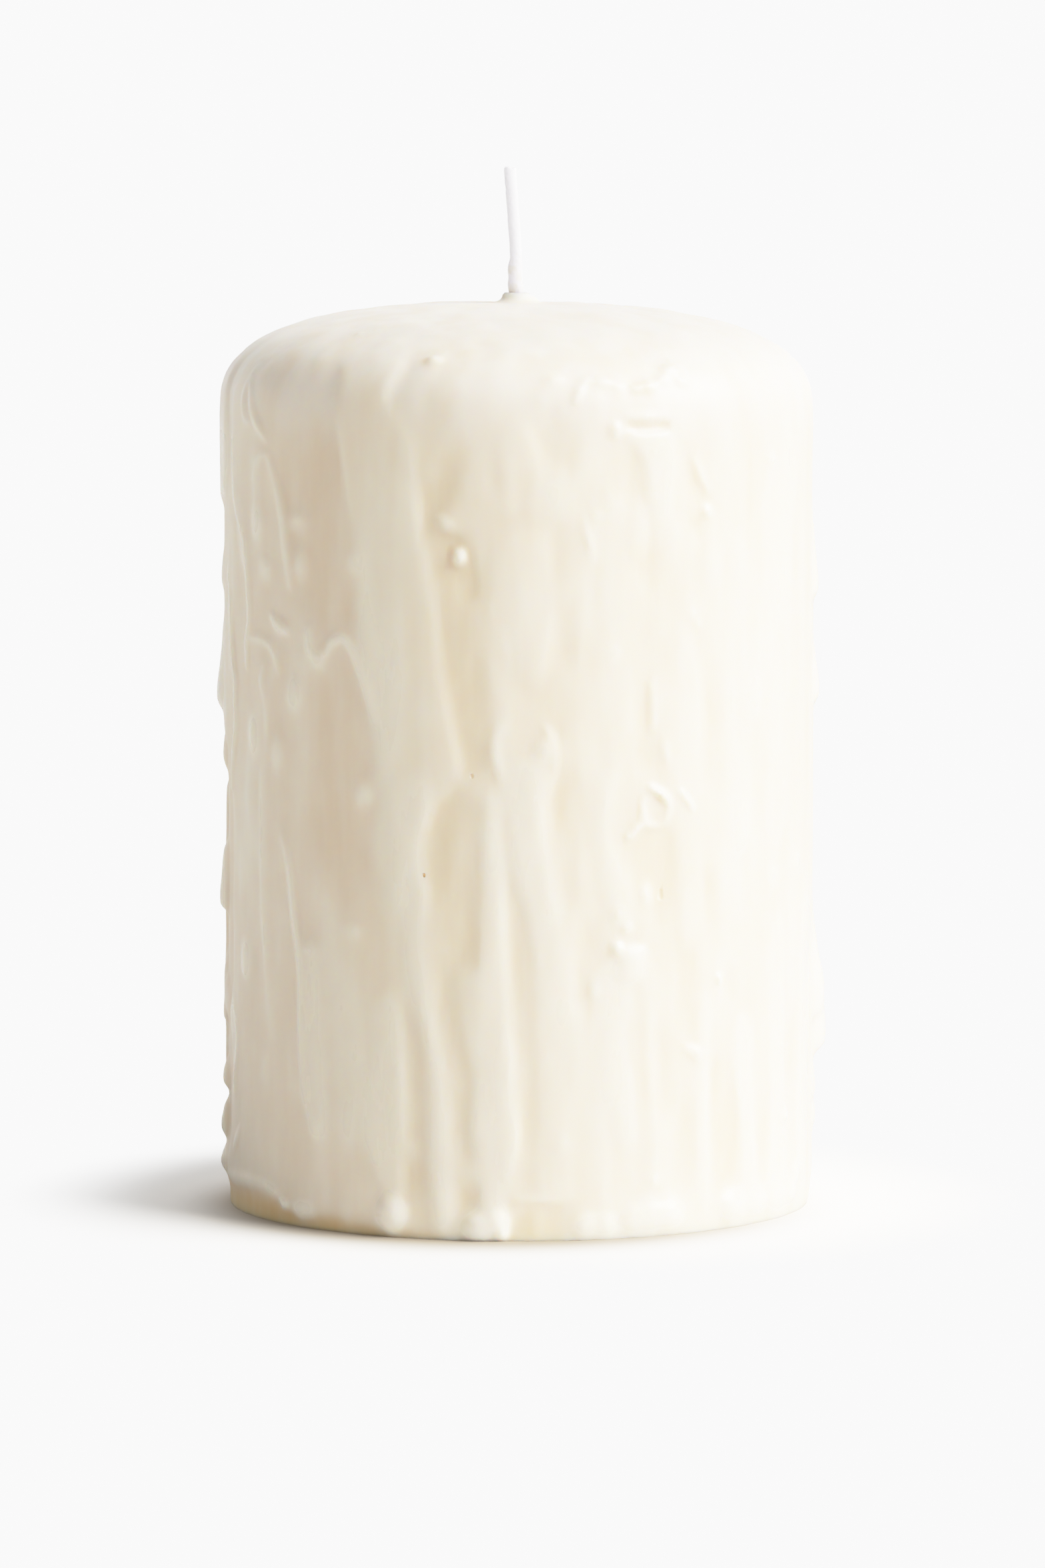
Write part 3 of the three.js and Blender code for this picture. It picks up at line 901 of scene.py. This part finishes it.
# Wider, flatter ones are fused with the bands, so they stay soft.
PATCHES = [
    (-32.6, 87.6, 1.6, 0.3, 1.4), (-31, 57.6, 1.8, 0.2, 1.2), (-33.4, 39.6, 2.4, 0.3, 0.6),
    (-35.4, 29.6, 1.8, 0.3, 0.6), (18, 76, 1.5, 0.35, 0.8), (7, 111.3, 1.4, 0.35, 0.8),
    (24.8, 44.6, 0.9, 0.5, 1.7), (-42.2, 13.6, 1.6, 0.5), (5.2, 63.6, 1.6, 0.4, 1.7),
    (58, 45.6, 1.4, 0.35, 1.2), (70, 46.6, 1.8, 0.4, 0.8), (-47, 92.6, 2, 0.2, 0.6),
    (-46, 87, 1.6, 0.2, 1.6), (-60, 92, 2.4, 0.4, 1.6), (-57, 86, 2, 0.4, 1.2), (-62, 64, 2, 0.4, 2),
    (-66, 34, 2.4, 0.4, 1.6), (-53, 62, 1.8, 0.35, 2.2), (-48, 70, 2, 0.3, 1.6), (52, 70, 2, 0.3, 2.4),
    (48, 52, 1.8, 0.3, 2),
    # the lumps at the right of the middle, and pads at the foot
    (21.6, 36.6, 2.4, 0.9, 0.7), (21.6, 34.6, 2.6, 0.7, 0.6), (19.2, 42.4, 1.2, 0.6, 1.4),
    (-7.6, 1.9, 2.4, 1.1, 0.85), (-4.2, 2.6, 1.9, 1.1, 1.1), (-24.6, 3.2, 2.3, 1.15, 1.2),
    (13, 2, 2.4, 0.6, 0.8), (16.6, 2, 2.2, 0.6, 0.8), (22.6, 2.6, 2.6, 0.65, 0.9),
    (26, 2.8, 2.6, 0.7, 0.9), (29.6, 2.8, 2.6, 0.8, 0.9), (46, 3, 3, 0.8, 0.8), (52, 3.2, 3, 0.8, 0.7),
    (60, 3.4, 3, 0.8, 0.8), (66, 3.2, 2.4, 0.9, 0.8), (69, 5.4, 1.6, 0.9), (-46, 2.6, 2.8, 0.5, 0.5),
    (8.6, 12.7, 1.3, 0.35),
]
beads = [bead(*place) for place in BEADS]
patches = [bead(*place) for place in PATCHES]

# And many faint ones, everywhere. The golden angle and the golden ratio scatter them evenly.
FAINT_PATCHES = 110
GOLDEN_ANGLE = 137.508
GOLDEN_RATIO = 0.618034
FAINT_LOW = 6
FAINT_RISE = 92
for i in range(FAINT_PATCHES):
    angle = GOLDEN_ANGLE * i % 360
    height = FAINT_LOW + FAINT_RISE * (GOLDEN_RATIO * i % 1)
    radius = 2 + 0.9 * math.sin(2.1 * i)
    stand = 0.13 + 0.07 * math.sin(3.7 * i)
    patches.append(bead(angle, height, radius, stand, 1.9 + math.sin(1.3 * i)))
print("beads:", len(beads), "and patches:", len(patches))

# %% [markdown]
# A bubble burst at the right and left a thin ring, with two flakes beside it. These are fine tubes.

# %% Burst bubble
BUBBLE = (27, 55.8)
BUBBLE_WIDE = 2.9
BUBBLE_TALL = 2.4
RING_POINTS = 15


def fine_tube(radius, stations):
    """A fine ridge through places given as an angle, a height and how far its middle stands out."""
    points = []
    for angle, height, stand in stations:
        place, away = on_coat(angle, height * mm)
        points.append((place + away * stand * mm, radius * mm))
    return tube(points)


ring = []
for step in range(RING_POINTS):
    turn = math.radians(360 / RING_POINTS * step + 100)
    ragged = 1 + 0.08 * math.sin(5 * turn)
    angle = BUBBLE[0] + BUBBLE_WIDE * math.cos(turn) * ragged
    height = BUBBLE[1] + BUBBLE_TALL * math.sin(turn) * ragged
    ring.append((angle, height, -0.02 + 0.16 * math.sin(2 * turn + 1)))
flakes = [
    fine_tube(0.26, ring),
    fine_tube(0.28, [
        (25.8, 58.5, 0.3), (26.6, 58.3, 0.55), (27.8, 57.8, 0.65), (29, 57.1, 0.5), (29.8, 56.4, 0.2),
    ]),
    fine_tube(0.28, [(32, 58, 0.2), (33, 57.3, 0.4), (34.2, 56.4, 0.45), (35.2, 55.4, 0.2)]),
    fine_tube(0.34, [(20.8, 52.2, -0.1), (22, 52.6, 0.05), (23, 53.4, 0.1), (24.2, 54, 0)]),
]
print("pieces of the bubble:", len(flakes))

# %% [markdown]
# Fusing again. The bands and drops are fused with the ground and smoothed a little, then the threads and
# beads, smoothed least. The mesh is finer than its plain parts need, so a Decimate modifier thins it
# where it is smooth.

# %% Fuse the bands, threads and beads
MOST_TRIANGLES = 194_000
# The slot under the rim and the hollow under the hooked lip have crisp edges. They are cut between the two
# fusings, and only this deep.
SLOT_DEPTH = 0.42 * mm
HOOK_DEPTH = 0.38 * mm
SLOT = [
    (20.4, 105.6), (21.6, 104.7), (24, 104.4), (26.4, 104.4), (28.6, 104.5), (29.9, 104.9), (29.9, 105.7),
    (28.4, 106), (26.4, 106), (24.4, 106), (22.4, 106),
]
HOOK = [
    (-14.6, 92), (-12.6, 91.7), (-10.6, 91.2), (-9.2, 90), (-8.2, 88), (-7.6, 85.4), (-8.2, 83),
    (-9.8, 82.6), (-11.4, 84.4), (-13, 87), (-14.4, 89.8),
]

body = fuse([body, *bands, *side_drops, *patches], 22)
uneven(body, 0.2 * mm, 3.2 * mm, 2.5, 0.83)
combine(body, cutter(HOOK, coat_radius - HOOK_DEPTH), "DIFFERENCE")
combine(body, cutter(SLOT, coat_radius - SLOT_DEPTH), "DIFFERENCE")
body = fuse([body, *threads, *beads, *flakes], 5)
uneven(body, 0.05 * mm, 1.1 * mm, 1.6, 0.21)
print("fused wax:", len(body.data.polygons), "faces")

# %% [markdown]
# The wax crept a little way up the wick, so a small collar flares out from it, with a torn lip on its
# left. It is modelled as a stack of rings that narrow upwards: a circle is extruded and resized once for
# each ring.

# %% Collar round the wick
# The collar's radius at heights above the top of the dome. Its root lies inside the dome.
COLLAR_ROOT = [(4.4, -2.5), (4.4, -1.5)]
COLLAR_RINGS = [(4.4, -0.2), (3.2, 0.1), (2.6, 0.3), (2.15, 0.6), (1.8, 1.0), (1.45, 1.4)]
COLLAR_SIDES = 32


def stacked(name, rings, sides):
    """A closed turned shape from a list of radius and height, given from the bottom to the top."""
    radius, height = rings[0]
    deselect_all()
    bpy.ops.mesh.primitive_circle_add(
        vertices=sides, radius=radius, fill_type="NGON", location=(0, 0, height)
    )
    piece = bpy.context.object
    piece.name = name
    apply_place(piece)
    bpy.ops.object.mode_set(mode="EDIT")
    bpy.ops.mesh.select_all(action="SELECT")
    for wide, level in rings[1:]:
        bpy.ops.mesh.extrude_region_move(TRANSFORM_OT_translate={"value": (0, 0, level - height)})
        bpy.ops.transform.resize(value=(wide / radius, wide / radius, 1), center_override=(0, 0, 0))
        radius, height = wide, level
    bpy.ops.mesh.select_all(action="SELECT")
    bpy.ops.mesh.normals_make_consistent(inside=False)
    bpy.ops.object.mode_set(mode="OBJECT")
    return piece


def shard(x, y, rise, radius, tall):
    """A small torn point of wax beside the wick."""
    return ball(radius * mm, (1, 1, tall), (x * mm, y * mm, wax_top + rise * mm), detail=2)


collar_levels = [(radius * mm, wax_top + rise * mm) for radius, rise in [*COLLAR_ROOT, *COLLAR_RINGS]]
collar = stacked("collar", collar_levels, COLLAR_SIDES)
shards = [
    shard(-1.8, -0.3, 1.0, 0.34, 1.6), shard(-1.4, -0.8, 0.7, 0.45, 1.2), shard(2.0, 0.1, 0.5, 0.6, 0.8),
]
body = fuse([body, collar, *shards], 1)
modify(body, "DECIMATE", ratio=min(1, MOST_TRIANGLES / (2 * len(body.data.polygons))))
print("thinned wax:", len(body.data.polygons), "faces")

# %% [markdown]
# Small bubbles left pits. They are cut last, each with a small ball, so that they stay sharp.

# %% Pits
# Angle, height, radius, and how many times taller than wide.
PITS = [(28.3, 44.7, 0.45, 2.2), (-8.7, 60.4, 0.3, 1.2), (-18, 47.4, 0.22, 1.6)]


def pit(angle, height, radius, tall):
    place, away = on_coat(angle, height * mm)
    return ball(radius * mm, (1, 0.8, tall), place - away * 0.1 * mm, angle)


for place in PITS:
    combine(body, pit(*place), "DIFFERENCE")
print("wax with", len(PITS), "pits:", len(body.data.polygons), "faces")

# %% [markdown]
# The top isn't quite level: it falls a little towards the right. The points above the straight side are
# turned about a line through the shoulder, more the higher they are.

# %% Level of the top
for vertex in body.data.vertices:
    raised = min(max((vertex.co.z - shoulder_height + shoulder_drop) / (2 * shoulder_drop), 0), 1)
    vertex.co.z -= top_tilt * vertex.co.x * raised
print("the top falls by mm across:", round(2000 * top_tilt * coat_radius, 2))

# %% [markdown]
# The foot is cut flat, and the recess for the tab and the channel for the wick are opened. One turned
# cutter does it all: a slab below the foot with the recess, the room for the tab's collar and the channel
# standing on it.

# %% Foot, recess and channel
# The room left free round the tab and the wick.
FREE_ROOM = 0.35 * mm
LEAD_IN = 0.3 * mm
SLAB_RADIUS = 60 * mm
SLAB_DEPTH = 20 * mm
channel_radius = wick_radius + FREE_ROOM
collar_wall = 0.5 * mm
tab_thickness = 0.5 * mm
tab_lift = tab_low.z
tab_height = tab_high.z

recess_top = tab_lift + tab_thickness + FREE_ROOM
room_radius = channel_radius + collar_wall + FREE_ROOM
room_top = tab_height + FREE_ROOM
recess_radius = tab_radius + FREE_ROOM
opening = stacked("opening", [
    (SLAB_RADIUS, -SLAB_DEPTH), (SLAB_RADIUS, 0), (recess_radius + LEAD_IN, 0), (recess_radius, LEAD_IN),
    (recess_radius, recess_top), (room_radius, recess_top), (room_radius, room_top),
    (channel_radius, room_top), (channel_radius, wax_top + SLAB_DEPTH),
], 64)
combine(body, opening, "DIFFERENCE")
body.name = "dripped_wax"
body.data.name = "dripped_wax"
lowest = min(vertex.co.z for vertex in body.data.vertices)
print("wax:", len(body.data.polygons), "faces, lowest point in mm:", round(1000 * lowest, 3))

# %% [markdown]
# The wick is a cord of eight cotton strands, four wound each way and passing over and under each other.
# It runs the whole way down its channel into the tab. Its free end leans a little, with a slight kink
# where the wax stops.

# %% Wick strands
STRANDS = 8
BRAID_PITCH = 5.2 * mm
STRAND_STEP = 0.3 * mm
STRAND_SHARE = 0.41
WEAVE = 0.07
# Smoothing takes a little off the tip, so the strands start that much longer. They end one by one.
TIP_SPARE = 0.3 * mm
TIP_STEP = 0.12 * mm
wick_foot = wick_low.z
wick_tip = wick_high.z + TIP_SPARE
# How far the wick's middle lies from the axis towards the right, after the height, both in units.
WICK_ROUTE = [
    (0, 0), (60, 0), (118, 0), (121.5, -0.25), (124, -0.4), (126.6, -0.28), (129, -0.42), (133, -0.72),
    (137.6, -1.05),
]


def wick_middle(height):
    """The middle of the wick at a height, by a smooth curve through its route."""
    level = height / mm
    i = max(k for k, (h, _) in enumerate(WICK_ROUTE[:-1]) if h <= level or k == 0)
    ends = [WICK_ROUTE[min(max(k, 0), len(WICK_ROUTE) - 1)][1] for k in range(i - 1, i + 3)]
    part = (level - WICK_ROUTE[i][0]) / (WICK_ROUTE[i + 1][0] - WICK_ROUTE[i][0])
    before, start, end, after = ends
    slope_in, slope_out = (end - before) / 2, (after - start) / 2
    side = (
        start + slope_in * part + (3 * (end - start) - 2 * slope_in - slope_out) * part**2
        + (2 * (start - end) + slope_in + slope_out) * part**3
    )
    return Vector((side * mm, 0, height))


def strand(index):
    """One strand of the braid. It winds round the middle, and weaves in and out at each crossing."""
    way = 1 if index % 2 else -1
    start = 2 * math.pi * (index // 2) / (STRANDS / 2)
    radius = STRAND_SHARE * wick_radius
    tip = wick_tip - TIP_STEP * (index % 3)
    steps = int((tip - wick_foot) / STRAND_STEP)
    points = []
    for step in range(steps + 1):
        height = wick_foot + (tip - wick_foot) * step / steps
        turn = start + way * 2 * math.pi * (height - wick_foot) / BRAID_PITCH
        weave = WEAVE * math.cos(STRANDS / 2 * turn * way + (0 if way > 0 else math.pi))
        out = wick_radius * (1 - STRAND_SHARE - WEAVE + weave)
        aside = Vector((out * math.cos(turn), out * math.sin(turn), 0))
        points.append((wick_middle(height) + aside, radius))
    return tube(points)


strands = [strand(index) for index in range(STRANDS)]
print("strands:", len(strands), "from", round(wick_foot / mm, 2), "to", round(wick_tip / mm, 2))

# %% [markdown]
# The lower part of the free wick is soaked and coated with wax, in small lumps. A sleeve round the
# strands makes it. The cord is also drawn tight, so a plain heart nearly as thick as the cord fills the
# braid from within. The strands, the sleeve and the heart are fused, which leaves only a faint trace of
# the braid.

# %% Waxed part of the wick
WICK_VOXEL = 0.13 * mm
HEART_SHARE = 0.94
# The sleeve's radius, after the height.
SLEEVE = [
    (118, 0.8), (120.6, 1.0), (121.6, 0.97), (122.4, 1.0), (123.4, 0.93), (124.2, 0.98), (125, 0.93),
    (125.8, 0.84), (126.6, 0.7),
]

sleeve_points = []
for level, radius in SLEEVE:
    sway = 0.05 * math.sin(2.3 * level) * mm
    sleeve_points.append((wick_middle(level * mm) + Vector((sway, 0, 0)), radius * mm))
sleeve = tube(sleeve_points)
heart_levels = [wick_foot + 0.3 * mm, *[level * mm for level, _ in WICK_ROUTE[1:-1]], wick_tip - 0.1 * mm]
heart = tube([(wick_middle(height), HEART_SHARE * wick_radius) for height in heart_levels])
wick = join([*strands, sleeve, heart])
modify(wick, "REMESH", mode="VOXEL", voxel_size=WICK_VOXEL)
modify(wick, "SMOOTH", factor=0.5, iterations=4)
uneven(wick, 0.12 * mm, 0.9 * mm, 1.5, 0.45)
wick.name = "cotton_wick"
wick.data.name = "cotton_wick"
print("wick:", len(wick.data.polygons), "faces")

# %% [markdown]
# The tab under the foot is pressed from thin tinned sheet: a disc with a rolled edge, a pressed ring and
# ribs to stiffen it, and a collar in the middle that is squeezed on the wick from three sides.

# %% Tab
RIBS = 6
CRIMPS = 3
ROLLED_EDGE = 0.15 * mm
ROLLED_WIDTH = 0.35 * mm
# How deep the crimps go, at what share of the collar's height, and how tall they are.
CRIMP_DEPTH = 0.16
CRIMP_LEVEL = 0.6
CRIMP_TALL = 0.22

upper = tab_lift + tab_thickness
collar_outer = channel_radius + collar_wall
tab = stacked("pressed_tab", [
    (tab_radius - ROLLED_WIDTH, tab_lift), (tab_radius, tab_lift + ROLLED_EDGE),
    (tab_radius, upper - ROLLED_EDGE), (tab_radius - ROLLED_WIDTH, upper), (collar_outer + 0.5 * mm, upper),
    (collar_outer + 0.1 * mm, upper + 0.3 * mm), (collar_outer, upper + 0.8 * mm),
    (collar_outer, upper + 2 * mm), (collar_outer, upper + 3 * mm), (collar_outer, upper + 4 * mm),
    (collar_outer, tab_height - 0.2 * mm), (collar_outer - 0.12 * mm, tab_height),
], 96)
bore = stacked("bore", [(channel_radius, -2 * mm), (channel_radius, tab_height + 2 * mm)], 96)
combine(tab, bore, "DIFFERENCE")


def groove(radius, thick):
    """A ring that presses a round groove into the underside."""
    deselect_all()
    bpy.ops.mesh.primitive_torus_add(
        major_segments=96, minor_segments=12, major_radius=radius, minor_radius=thick,
        location=(0, 0, tab_lift - 0.1 * mm),
    )
    return bpy.context.object


def rib(index):
    """A thin rod that presses one straight groove into the underside, from the middle outwards."""
    turn = 2 * math.pi * index / RIBS
    line = Vector((math.cos(turn), math.sin(turn), 0))
    level = Vector((0, 0, tab_lift - 0.12 * mm))
    reach = [3.2, 3.4, 4.5, 6, 6.6, 6.8]
    thick = [0.05, 0.3, 0.34, 0.34, 0.3, 0.05]
    return tube([(line * far * mm + level, radius * mm) for far, radius in zip(reach, thick)])


combine(tab, groove(8.2 * mm, 0.3 * mm), "DIFFERENCE")
for index in range(RIBS):
    combine(tab, rib(index), "DIFFERENCE")
for vertex in tab.data.vertices:
    rise = (vertex.co.z - upper) / (tab_height - upper)
    if rise > 0.15 and math.hypot(vertex.co.x, vertex.co.y) > channel_radius + 0.1 * mm:
        squeeze = CRIMP_DEPTH * math.exp(-(((rise - CRIMP_LEVEL) / CRIMP_TALL) ** 2))
        pinch = 1 - squeeze * max(0, math.cos(CRIMPS * math.atan2(vertex.co.y, vertex.co.x))) ** 2
        vertex.co.x *= pinch
        vertex.co.y *= pinch
print("tab:", len(tab.data.polygons), "faces")

# %% [markdown]
# Wax finish. Light goes into wax, scatters and comes out again, so most of its look is subsurface
# scattering. The thick runs are given a whiter, cooler colour and the thin ground between them a warmer,
# deeper one, so the colour follows how far a point lies from the axis: partly the wax's own change of
# tone with its thickness, and partly painted light on the raised runs and painted shade in the hollows.
# Proud wax is whitened further, partly by a painted highlight. Slow noise, stretched upright, adds the
# unevenness, and fine noise a satin grain. The bare core at the foot on the left is made a deep amber
# that is darkest near the floor: partly its own deeper colour, partly painted shade on the shaded side.
# The collar round the wick is lightened and warmed by painted light over its shaded side.

# %% Wax finish
GROUND_COLOUR = (0.82, 0.70, 0.54, 1)
COAT_COLOUR = (0.86, 0.76, 0.62, 1)
RUN_COLOUR = (0.90, 0.825, 0.705, 1)
# Also the white of the painted highlight on proud wax.
DOME_AND_GLINT_WHITE = (0.90, 0.835, 0.745, 1)
# Painted light: lifts and warms the collar's shaded side.
PAINTED_COLLAR_LIGHT = (1.0, 0.83, 0.71, 1)
# The bare core's own deeper amber, with painted shade near the floor.
FOOT_AMBER_AND_SHADE = (0.79, 0.56, 0.28, 1)
SCATTER_SCALE = 2.5 * mm
SLOW_DRIFT = 0.6 * mm
STREAK_DRIFT = 0.22 * mm
DOME_THICKNESS = 0.55

wax = new_material("ivory_wax")
place = wax.place()
flat_place = wax.scaled(place, (1, 1, 0))
from_axis = wax.node("ShaderNodeVectorMath", {"operation": "LENGTH"}, {0: flat_place}, output="Value")
level = wax.part(place, "Z")
upright = wax.scaled(place, (1, 1, 0.22))
slow = wax.noise(upright, 160, 3)
fine = wax.noise(upright, 700, 2)
streaks = wax.noise(wax.scaled(place, (1, 1, 0.06)), 420, 2)
on_dome = wax.ramp(level, shoulder_height - 6 * mm, shoulder_height + 5 * mm)
uneven_reach = from_axis + (slow - 0.5) * SLOW_DRIFT + (streaks - 0.5) * STREAK_DRIFT
# Colour by distance from the axis: partly the wax's tone by thickness, partly painted light and shade.
thickness = wax.ramp(uneven_reach, inner_radius - 0.25 * mm, coat_radius + 0.35 * mm)
thickness = thickness + (DOME_THICKNESS - thickness) * on_dome
ground = wax.mix(wax.ramp(thickness, 0.0, 0.5), GROUND_COLOUR, COAT_COLOUR)
dripped = wax.mix(wax.ramp(thickness, 0.45, 1.0), ground, RUN_COLOUR)
domed = wax.mix(on_dome * wax.ramp(slow, 0.2, 0.6), dripped, DOME_AND_GLINT_WHITE)
# Painted highlight on proud wax, partly also the whiter tone of thick wax.
proud = wax.ramp(from_axis, coat_radius + 0.35 * mm, coat_radius + 0.8 * mm)
with_painted_highlight = wax.mix(proud * 0.8, domed, DOME_AND_GLINT_WHITE)
# Painted light over the collar's shaded side, near the wick on the dome.
near_wick = on_dome * (1 - wax.ramp(from_axis, 2.0 * mm, 3.8 * mm))
with_painted_collar_light = wax.mix(near_wick * 0.8, with_painted_highlight, PAINTED_COLLAR_LIGHT)
# Painted shade: the bare core near the floor is darkened to amber, most of all on the shaded left.
near_foot = 1 - wax.ramp(level, mm, 5.5 * mm)
bare = 1 - wax.ramp(from_axis, core_radius - 0.1 * mm, coat_radius)
shaded_left = 1 - wax.ramp(wax.part(place, "X"), -18 * mm, 2 * mm) * 0.75
deep = wax.mix(near_foot * bare * shaded_left, with_painted_collar_light, FOOT_AMBER_AND_SHADE)
mottled = wax.mix(wax.ramp(fine, 0.3, 0.75) * 0.12, deep, RUN_COLOUR)
gloss = 0.4 - wax.ramp(thickness, 0.6, 1.0) * 0.14 + (fine - 0.5) * 0.08
grain = wax.noise(place, 2600, 3, 0.6)
bumps = slow * 0.6 + fine * 0.3 + grain * 0.07
wax.surface("ShaderNodeBsdfPrincipled", {
    "Base Color": mottled, "Roughness": gloss, "Normal": wax.bump(bumps, 0.25, 0.3 * mm), "IOR": 1.44,
    "Subsurface Weight": 0.85, "Subsurface Radius": (1.0, 0.72, 0.42), "Subsurface Scale": SCATTER_SCALE,
    "Specular IOR Level": 0.5,
})
wear(body, wax)

# %% [markdown]
# Cotton finish. Bleached cotton is a cool matt white, and light goes through so thin a cord, so it
# scatters widely. Its lower part is soaked with wax, which makes it a little darker, smoother and warmer,
# so a mask by height changes the colour and the roughness there.

# %% Cotton finish
COTTON_COLOUR = (0.75, 0.75, 0.98, 1)
COTTON_SHADE = (0.72, 0.72, 0.95, 1)
SOAKED_COLOUR = (0.66, 0.635, 0.62, 1)

cotton = new_material("white_cotton")
place = cotton.place()
fibres = cotton.noise(cotton.scaled(place, (1, 1, 0.3)), 5200, 3, 0.6)
patch = cotton.noise(place, 900, 2)
ragged_level = cotton.part(place, "Z") + (patch - 0.5) * (1.6 * mm)
soaked = 1 - cotton.ramp(ragged_level, 125 * mm, 127.4 * mm)
clean = cotton.mix(cotton.ramp(fibres, 0.35, 0.65), COTTON_SHADE, COTTON_COLOUR)
waxed = cotton.mix(cotton.ramp(patch, 0.35, 0.65) * 0.5, SOAKED_COLOUR, COTTON_COLOUR)
cotton.surface("ShaderNodeBsdfPrincipled", {
    "Base Color": cotton.mix(soaked, clean, waxed), "Roughness": 0.9 - soaked * 0.45,
    "Normal": cotton.bump(fibres, 0.35, 0.06 * mm), "Subsurface Weight": 0.95,
    "Subsurface Radius": (1.0, 1.0, 1.0), "Subsurface Scale": 5 * mm, "Specular IOR Level": 0.1,
})
wear(wick, cotton)

# %% [markdown]
# Tin finish. Thin tinned sheet is bright but not a mirror: it has faint rolling lines one way, and a
# duller bloom in patches.

# %% Tin finish
TIN_BRIGHT = (0.74, 0.74, 0.75, 1)
TIN_DULL = (0.60, 0.60, 0.61, 1)

tin = new_material("tinned_sheet")
place = tin.place()
rolled = tin.noise(tin.scaled(place, (1, 0.03, 1)), 5000, 2)
bloom = tin.noise(place, 450, 3)
tin.surface("ShaderNodeBsdfPrincipled", {
    "Base Color": tin.mix(tin.ramp(bloom, 0.35, 0.7), TIN_BRIGHT, TIN_DULL),
    "Metallic": 1.0, "Roughness": 0.24 + tin.ramp(bloom, 0.3, 0.7) * 0.2 + rolled * 0.08,
    "Normal": tin.bump(rolled, 0.15, 0.03 * mm),
})
wear(tab, tin)

# %% [markdown]
# Last, each piece is shaded smooth, rides on the candle's one body, and takes the place of its node in
# the frame.

# %% Place the pieces on the frame
SMOOTH_BELOW = math.radians(50)

for piece, node, slot in [
    (body, "wax_body", "wax"), (wick, "wick", "cotton_wick"), (tab, "wick_sustainer", "tinned_steel"),
]:
    only(piece)
    bpy.ops.object.shade_smooth_by_angle(angle=SMOOTH_BELOW)
    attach(piece, "root")
    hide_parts(node)
    print(piece.name, "stands for", node)
